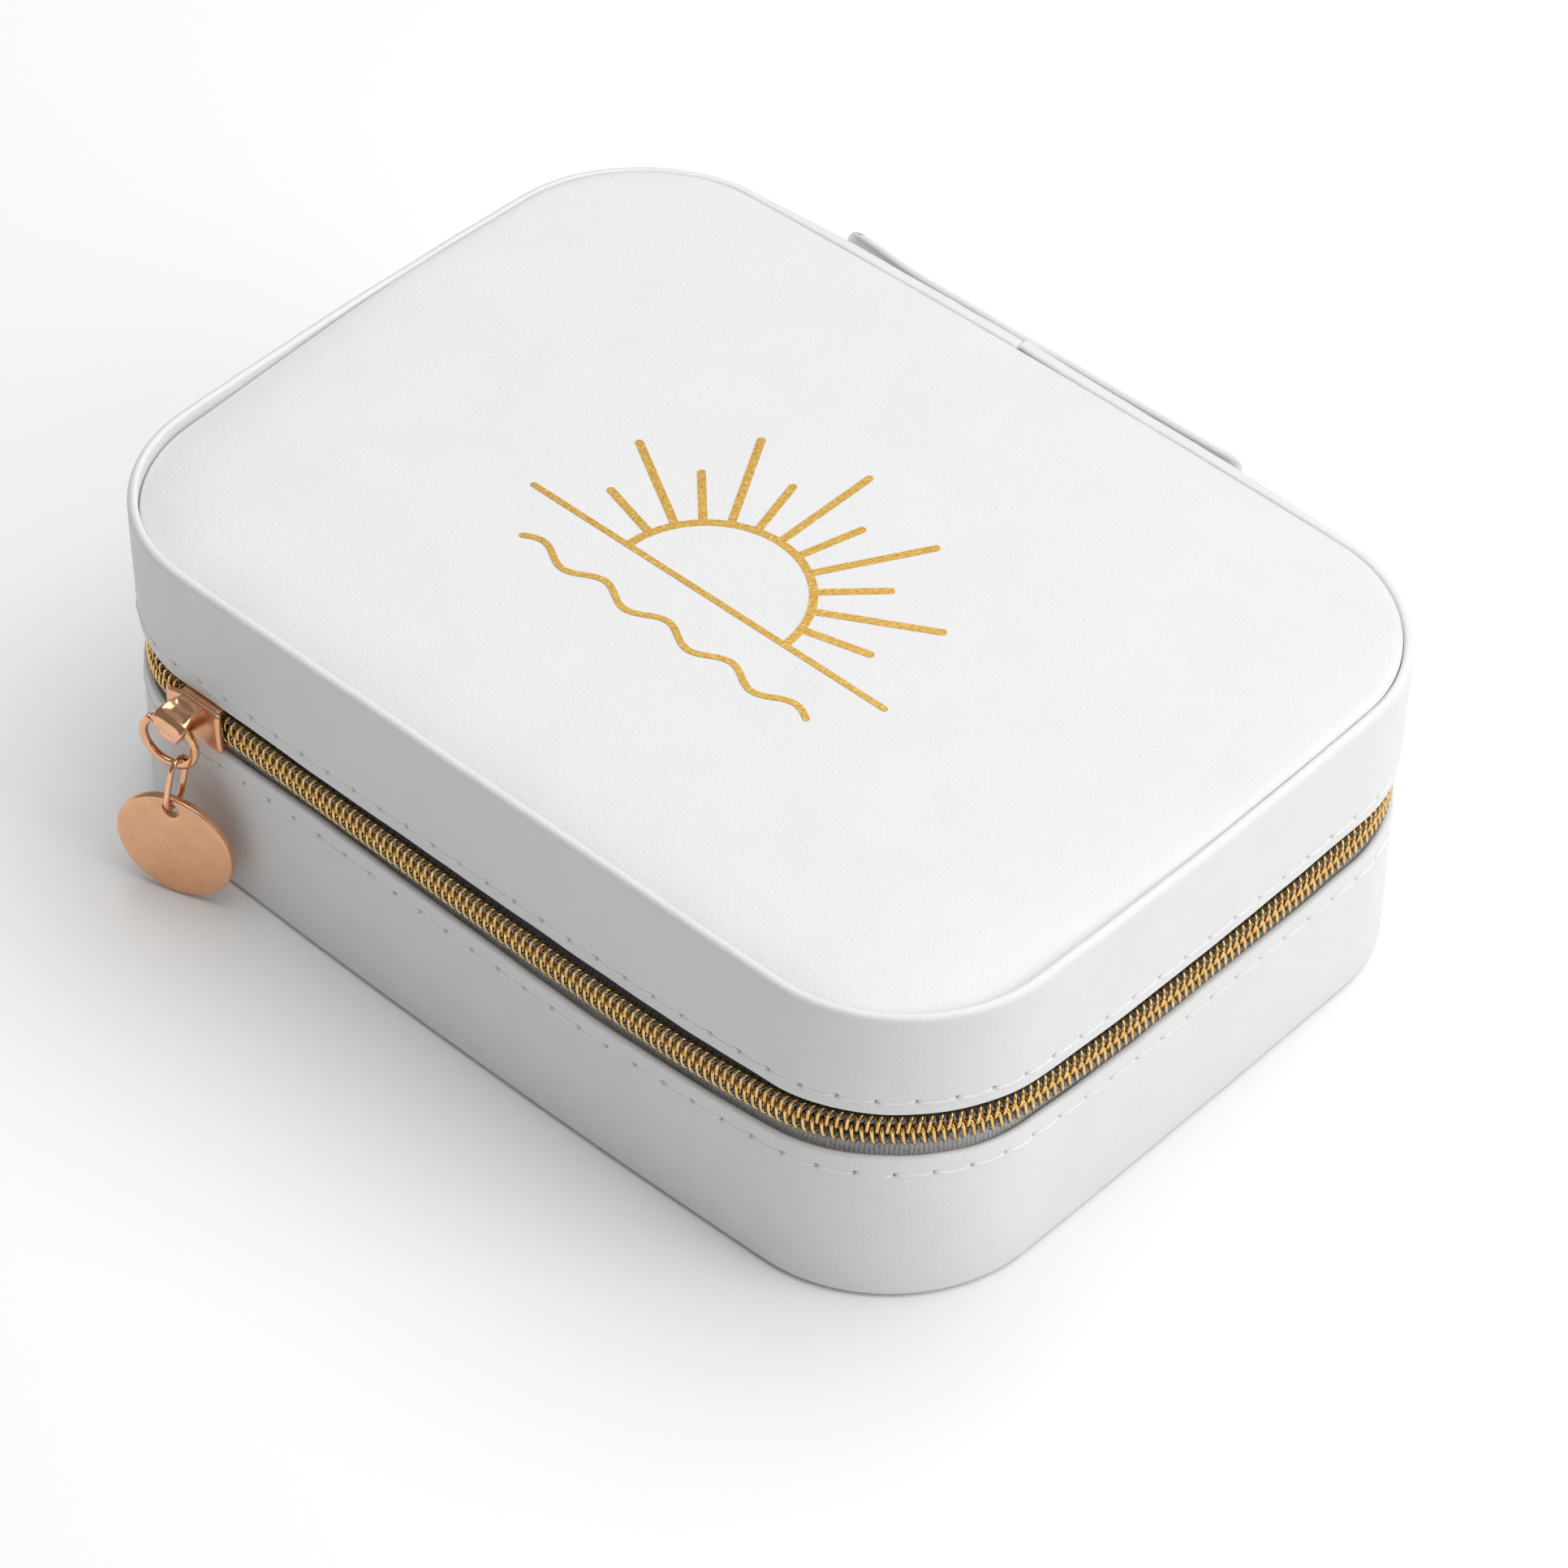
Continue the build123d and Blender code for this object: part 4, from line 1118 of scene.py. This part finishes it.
def make_hinge():
    low, high = mm_box("hinge_patch_lower")
    top = mm_box("hinge_patch_upper")[1][2]
    low[0] += PATCH_SHIFT
    high[0] += PATCH_SHIFT
    bends = [(0, low[2]), (0, 24.0), (0.5, 27.0), (0.9, ZIP_MID), (0.5, 34.0), (0, 37.0), (0, 44.0)]
    bends += [(0.3, 48.0), (0.6, 51.5), (0.75, top + PATCH_RISE)]
    wall = HALF_WIDTH + 0.35
    path = [(wall + out, z) for out, z in bends]

    def flare(x, z):
        """The patch's free top end curls off the lid, most at its corners."""
        up = np.clip((z - 47) / 7, 0, 1) ** 2
        corner = hump(x, low[0], 9.0) * 1.5 + hump(x, high[0], 12.0) * 0.7
        return up * (corner + 0.10 * np.sin(x / 6.5) + 0.06 * np.sin(x / 2.9 + 1))

    hinge_sheet("hinge_patch", "hinge_patch", low, high, path, PATCH_T, PATCH_ROUND, LEATHER, flare)
    low, high = mm_box("hinge_lining_lower")
    top = mm_box("hinge_lining_upper")[1][2]
    bends = [(-0.75, low[2]), (-0.75, 23.5), (-0.4, 26), (1.9, 28.6), (2.4, ZIP_MID), (1.9, 32.4)]
    bends += [(-0.4, 34.8), (-0.75, 37.0), (-0.75, top)]
    path = [(HALF_WIDTH - LINING_IN + out, z) for out, z in bends]
    sizes = (HINGE_LINING_T, HINGE_LINING_ROUND)
    hinge_sheet("hinge_inner_lining", "hinge_lining", low, high, path, *sizes, VELVET)


# ---- Fittings in the base ----

ROLLS = 6
ROLL_CORNER_R = CORNER_R - LINING_IN - 0.4


def make_fittings():
    for index in range(1, ROLLS + 1):
        make_roll(index)
    for part, counts in (("long", (6, 60, 12)), ("cross_1", (44, 8, 12)), ("cross_2", (44, 8, 12))):
        node = "divider_" + part
        shape = Shape()
        shape.box(*mm_box(node), (1.15, 1.15, 1.15), counts, warp)
        shape.make(node + "_velvet", "base", [VELVET], [node], weld=True)


def make_roll(number):
    """A soft velvet roll: full in the middle, pinched at its ends, flat where it stands on the tray."""
    node = f"ring_roll_{number}"
    low, high = mm_box(node)
    centre = (low + high) / 2
    half = (high - low) / 2

    def shape_roll(p):
        x, y, z = (p[..., axis] for axis in range(3))
        top = np.clip((z - centre[2]) / half[2] * 0.5 + 0.5, 0, 1)
        ends = np.clip((np.abs((x - centre[0]) / half[0]) - 0.86) / 0.14, 0, 1)
        beyond = np.clip(np.abs(y) - (HALF_WIDTH - CORNER_R), 0, ROLL_CORNER_R - 0.5)
        reach = HALF_LENGTH - CORNER_R + np.sqrt(ROLL_CORNER_R ** 2 - beyond ** 2)
        shrink = np.minimum((centre[0] + reach) / (centre[0] - low[0]), 1)
        lumps = 0.22 * np.sin(x / 6.5 + number * 1.9) + 0.12 * np.sin(x / 2.7 + number)
        out = p.copy()
        out[..., 0] = np.where(x < centre[0], centre[0] + (x - centre[0]) * shrink, x)
        out[..., 1] = centre[1] + (y - centre[1]) * (1 - 0.10 * ends ** 2)
        out[..., 2] = z + top * (lumps - 1.1 * ends ** 2 - 0.15)
        return warp(out)

    shape = Shape()
    shape.box(low, high, (4.0, 6.2, 6.2), (70, 16, 14), shape_roll)
    shape.make(f"velvet_roll_{number}", "base", [VELVET], [node], weld=True)


# ---- Fittings in the lid ----

HOOKS = 5
HOOK_WIRE = 0.8
HOOK_BEND = 1.6
POCKET_PLEAT = 3.3
POCKET_T = 0.5


def make_lid_fittings():
    shape = Shape()
    shape.box(*mm_box("hook_strip"), (4.2, 4.2, 0.5), (60, 8, 3))
    shape.make("hook_strip_leather", "lid", [LEATHER], ["hook_strip"], weld=True)
    make_hooks()
    make_pocket()


def make_hooks():
    """Bent wire hooks with ball ends, each through a small round washer."""
    low, high = mm_box("necklace_hooks")
    top = high[2] + 0.2
    y_back = high[1] - HOOK_WIRE
    y_tip = low[1] + 0.3
    z_low = low[2] + HOOK_WIRE
    quarter = np.linspace(0, math.pi / 2, 8)
    across = np.linspace(-1.5, 1.5, 11)
    ball_size = [max(0.12, math.cos(a)) for a in across]
    washer_size = (1.9, 1.95, 1.8, 1.3)
    shape = Shape()
    for x in np.linspace(low[0] + HOOK_WIRE, high[0] - HOOK_WIRE, HOOKS):
        path = [(x, y_back, top), (x, y_back, top - 2)]
        for a in quarter:
            path.append((x, y_back - HOOK_BEND * (1 - math.cos(a)), z_low + HOOK_BEND * (1 - math.sin(a))))
        path.append((x, y_tip, z_low))
        ball = [(x, y_tip - 0.95 * math.sin(a) + 0.55, z_low) for a in across]
        washer = [(x, y_back, top - 0.15 - 0.5 * k) for k in (0, 0.3, 0.7, 1.0)]
        wire_size = HOOK_WIRE * 0.82
        for line, size, sides in ((path, wire_size, 14), (ball, ball_size, 14), (washer, washer_size, 20)):
            shape.tube(line, (1, 0, 0), size, size, sides)
    shape.make("necklace_hook_wires", "lid", [ROSE], ["necklace_hooks"])


def pleats(x):
    return np.sin(TURN * x / POCKET_PLEAT + 0.7 * np.sin(x / 7))


def make_pocket():
    """Gathered velvet pocket, sewn to the ceiling on three sides, with a ribbed elastic band in front."""
    low, high = mm_box("elastic_pocket")
    x = np.linspace(low[0], high[0], 241)[None, :]
    y = np.linspace(low[1], high[1], 49)[:, None]
    across = np.clip(np.minimum(x - low[0], high[0] - x) / 5.0, 0, 1)
    back = np.clip((high[1] - y) / 7.0, 0, 1)
    full = (1 - (1 - across) ** 2) ** 0.5 * (1 - (1 - back) ** 2) ** 0.5
    gather = np.exp(-(y - low[1]) / 9.0)
    folds = pleats(x) * gather * 0.28 * across
    folds = folds + 0.16 * np.sin(x / 5.1 + y / 9) * (1 - gather) * across * back
    face = np.stack((x + 0 * y, y + 0 * x, CEILING_Z - 0.25 - 2.85 * full + folds), -1)
    shape = Shape()
    shape.slab((face, face + (0, 0, POCKET_T)))
    pocket = shape.make("pocket_cloth", "lid", [VELVET], ["elastic_pocket"])

    def ruffle(p):
        out = p.copy()
        out[..., 2] += 0.14 * pleats(p[..., 0])
        out[..., 2] += 2.4 * np.clip((np.abs(p[..., 0]) - 47.0) / 5.0, 0, 1) ** 2
        return out

    band_low, band_high = mm_box("pocket_band")
    band = Shape()
    band.box(band_low, band_high + (0, 0.4, 0), (0.5, 0.5, 0.5), (160, 6, 3), ruffle)
    elastic = band.make("pocket_elastic", "lid", [ELASTIC], ["pocket_band"], weld=True)


# ---- Slider and pull ----

SLIDER_X = -54.5
BAIL_X = -56.0
BAIL_DISH = 0.42
BAIL_SHIFT = 1.6


def make_slider():
    low, high = mm_box("slider_body")
    x0, x1 = low[0], high[0]
    front, rear = low[1], high[1]
    middle = (low[2] + high[2]) / 2

    def nose(p):
        """Front plate: round nose towards the open end, gently domed face."""
        out = p.copy()
        lead = np.clip((SLIDER_X - 1.0 - p[..., 0]) / 4.6, 0, 1)
        out[..., 2] = middle + (p[..., 2] - middle) * (1 - 0.34 * lead ** 2)
        out[..., 1] -= 0.18 * (1 - ((p[..., 2] - middle) / 3.9) ** 2)
        return out

    shape = Shape()
    front_plate = (x0, front + 0.15, low[2]), (x1, front + 1.25, high[2])
    shape.box(*front_plate, (0.7, 0.42, 0.7), (22, 5, 18), nose)
    for z in (high[2] - 0.85, low[2]):
        shape.box((x0 + 2.6, front + 0.9, z), (x1 - 0.7, front + 3.3, z + 0.85), (0.3, 0.3, 0.28), (14, 6, 4))
    post = (x0 + 0.5, front + 0.9, middle - 0.6), (x0 + 2.5, rear - 0.4, middle + 0.6)
    shape.box(*post, (0.5, 0.3, 0.5), (4, 8, 4))
    back_plate = (x0 + 0.5, rear - 0.8, low[2] + 0.45), (x1 - 0.8, rear, high[2] - 0.65)
    shape.box(*back_plate, (0.3, 0.3, 0.3), (16, 4, 14))
    shape.make("slider", "slider", [ROSE_SATIN], ["slider_body"], weld=True)


def smooth_path(points, count):
    """A smooth run through a few points, by Catmull-Rom pieces."""
    p = np.asarray(points, float)
    ext = np.vstack((2 * p[0] - p[1], p, 2 * p[-1] - p[-2]))
    out = []
    for i in range(1, len(ext) - 2):
        t = np.linspace(0, 1, count, endpoint=i == len(ext) - 3)[:, None]
        a, b, c, d = ext[i - 1:i + 3]
        square = (2 * a - 5 * b + 4 * c - d) * t ** 2
        out.append(0.5 * (2 * b + (c - a) * t + square + (3 * b - a - 3 * c + d) * t ** 3))
    return np.vstack(out)


def make_bail():
    """The slider's loop: a leaf-shaped crown with dished facets, narrowing to a foot inside the ring."""
    low, high = mm_box("slider_bail")
    root = high[1] + 0.3
    tip = low[1] + 0.9
    crown = high[2] - 0.45
    foot = low[2] - 1.2
    lead = BAIL_X + BAIL_SHIFT
    path = smooth_path([
        (lead, root, crown), (lead, root - 2.2, crown + 0.05), (lead, tip + 0.9, crown - 0.5),
        (lead, tip + 0.1, crown - 1.35), (lead - 0.1, tip, crown - 2.7), (lead - 0.3, tip + 0.7, foot + 0.35),
        (lead - 0.5, tip + 2.2, foot - 0.05), (lead - 0.6, root, foot),
    ], 12)
    t = np.concatenate(([0], np.cumsum(np.linalg.norm(np.diff(path, axis=0), axis=1))))
    t /= t[-1]
    leaf = np.interp(t, (0, 0.16, 0.32, 0.40, 0.50, 0.60, 0.70, 1), (2.2, 2.7, 3.1, 3.1, 2.6, 1.9, 1.05, 0.9))
    thick = np.interp(t, (0, 0.3, 0.6, 1), (0.55, 0.6, 0.5, 0.42))
    facet = np.maximum(np.exp(-((t - 0.19) / 0.10) ** 4), np.exp(-((t - 0.47) / 0.09) ** 4))
    angle = TURN * np.arange(40) / 40
    u, v = (np.sign(w) * np.abs(w) ** 0.7 for w in (np.cos(angle), np.sin(angle)))
    across = np.array((1.0, 0, 0))
    outward = np.cross(unit(np.gradient(path, axis=0)), across)
    dish = BAIL_DISH * facet[:, None] * np.clip(1 - (u / 0.86) ** 4, 0, 1) * (v > 0)
    lift = thick[:, None] * v - dish
    rings = path[:, None] + leaf[:, None, None] * u[:, None] * across + lift[..., None] * outward[:, None]
    shape = Shape()
    shape.rod(rings)
    shape.make("bail", "slider", [ROSE], ["slider_bail"])


RING_TWIST = 14.0
RING_INSET = 0.50
RING_CUT_AT = 128
RING_CUT = 2.6


def make_ring():
    """Flat ring, cut at one place as the real one is."""
    low, high = mm_box("pull_ring")
    middle = (high[0] - low[0]) / 2 - RING_INSET
    start, gap = math.radians(RING_CUT_AT), math.radians(RING_CUT)
    angle = np.linspace(start + gap, start + TURN - gap, 97)[:, None]
    across = compass(RING_TWIST)
    path = (low + high) / 2 + middle * (np.cos(angle) * across + np.sin(angle) * UP)
    shape = Shape()
    shape.tube(path, np.cross(UP, across), 0.52, 0.66, 20, 3.2)
    shape.make("ring", "pull_ring", [ROSE], ["pull_ring"])


LINK_TWIST = 11.0
LINK_HALF = 1.85
LINK_WIRE = 0.45


def make_link():
    """Oval wire link between the ring and the disc."""
    low, high = mm_box("pull_link")
    joints = {j["name"]: j for j in frame["joints"]}
    top_x, top_y = (v / MM for v in joints["link_swing"]["pos_m"][:2])
    low_y = joints["charm_swing"]["pos_m"][1] / MM
    top = np.array((top_x, top_y, high[2] - LINK_WIRE))
    bottom = np.array((top_x, low_y, low[2] + LINK_WIRE))
    run = unit(top - bottom)
    across = compass(LINK_TWIST)
    side = unit(np.cross(across, run))
    turn = np.linspace(0, math.pi, 20)[:, None]
    bow = LINK_HALF * (np.cos(turn) * side + np.sin(turn) * run)
    arch = top - run * LINK_HALF + bow
    sling = bottom + run * LINK_HALF - bow
    leg = np.linspace(0, 1, 8)[1:-1, None]
    path = np.vstack((
        arch, arch[-1] + (sling[0] - arch[-1]) * leg, sling, sling[-1] + (arch[0] - sling[-1]) * leg,
    ))
    shape = Shape()
    shape.tube(path, across, LINK_WIRE, LINK_WIRE, 16, closed=True)
    shape.make("link", "pull_link", [ROSE], ["pull_link"])


CHARM_TWIST = 19.0
CHARM_HOLE_R = 1.35
CHARM_HOLE_UP = 7.3
CHARM_T = 1.3
CHARM_LIP = 0.22
CHARM_BEVEL = 0.38


def make_charm():
    """Polished disc with softly rolled edges and a round hanging hole."""
    low, high = mm_box("charm_disc")
    radius = (high[2] - low[2]) / 2
    across = compass(CHARM_TWIST)
    normal = compass(CHARM_TWIST - 90)
    angle = np.linspace(0, TURN, 160, endpoint=False)
    ray = np.stack((np.cos(angle), np.sin(angle)), -1)
    hole = np.array((0.0, CHARM_HOLE_UP))
    reach = -ray @ hole + np.sqrt((ray @ hole) ** 2 - hole @ hole + radius ** 2)
    rim = hole + ray * reach[:, None]
    half = CHARM_T / 2
    turn = np.linspace(0, math.pi / 2, 6)
    # The front, from the hole to the rim: the hole's lip, the flat face and the rolled edge
    front = []
    for a in turn[::-1]:
        inset, lower = CHARM_LIP * (1 - math.sin(a)), CHARM_LIP * (1 - math.cos(a))
        front.append((hole + ray * (CHARM_HOLE_R + inset), half - lower))
    start, stop = hole + ray * (CHARM_HOLE_R + CHARM_LIP), rim * (1 - CHARM_BEVEL / radius)
    for share in np.linspace(0, 1, 12)[1:-1]:
        front.append((start + (stop - start) * share, half))
    for a in turn:
        inset, lower = CHARM_BEVEL * (1 - math.sin(a)), CHARM_BEVEL * (1 - math.cos(a))
        front.append((rim * (1 - inset / radius), half - lower))
    rows = front + [(p, -h) for p, h in front[::-1]]
    grid = [(low + high) / 2 + p[:, :1] * across + p[:, 1:] * UP + h * normal for p, h in rows]
    shape = Shape()
    shape.grid(np.array(grid), close_u=True, close_v=True)
    shape.make("charm", "charm", [ROSE_SATIN], ["charm_disc"])


# ---- CAD parts that keep their own shape ----

def finish_cad_parts():
    kept = {"sun_foil": FOIL, "base_floor_board": BOARD, "lid_top_board": BOARD, "ring_tray": BOARD}
    for node, one in kept.items():
        mesh = frame["nodes"][node].data
        mesh.materials.clear()
        mesh.materials.append(one)


make_camera()
make_studio()
make_base_skin()
make_lid_skin()
make_top_panel()
make_bottom()
make_boards()
make_linings()
make_zipper()
make_hinge()
make_fittings()
make_lid_fittings()
make_slider()
make_bail()
make_ring()
make_link()
make_charm()
finish_cad_parts()
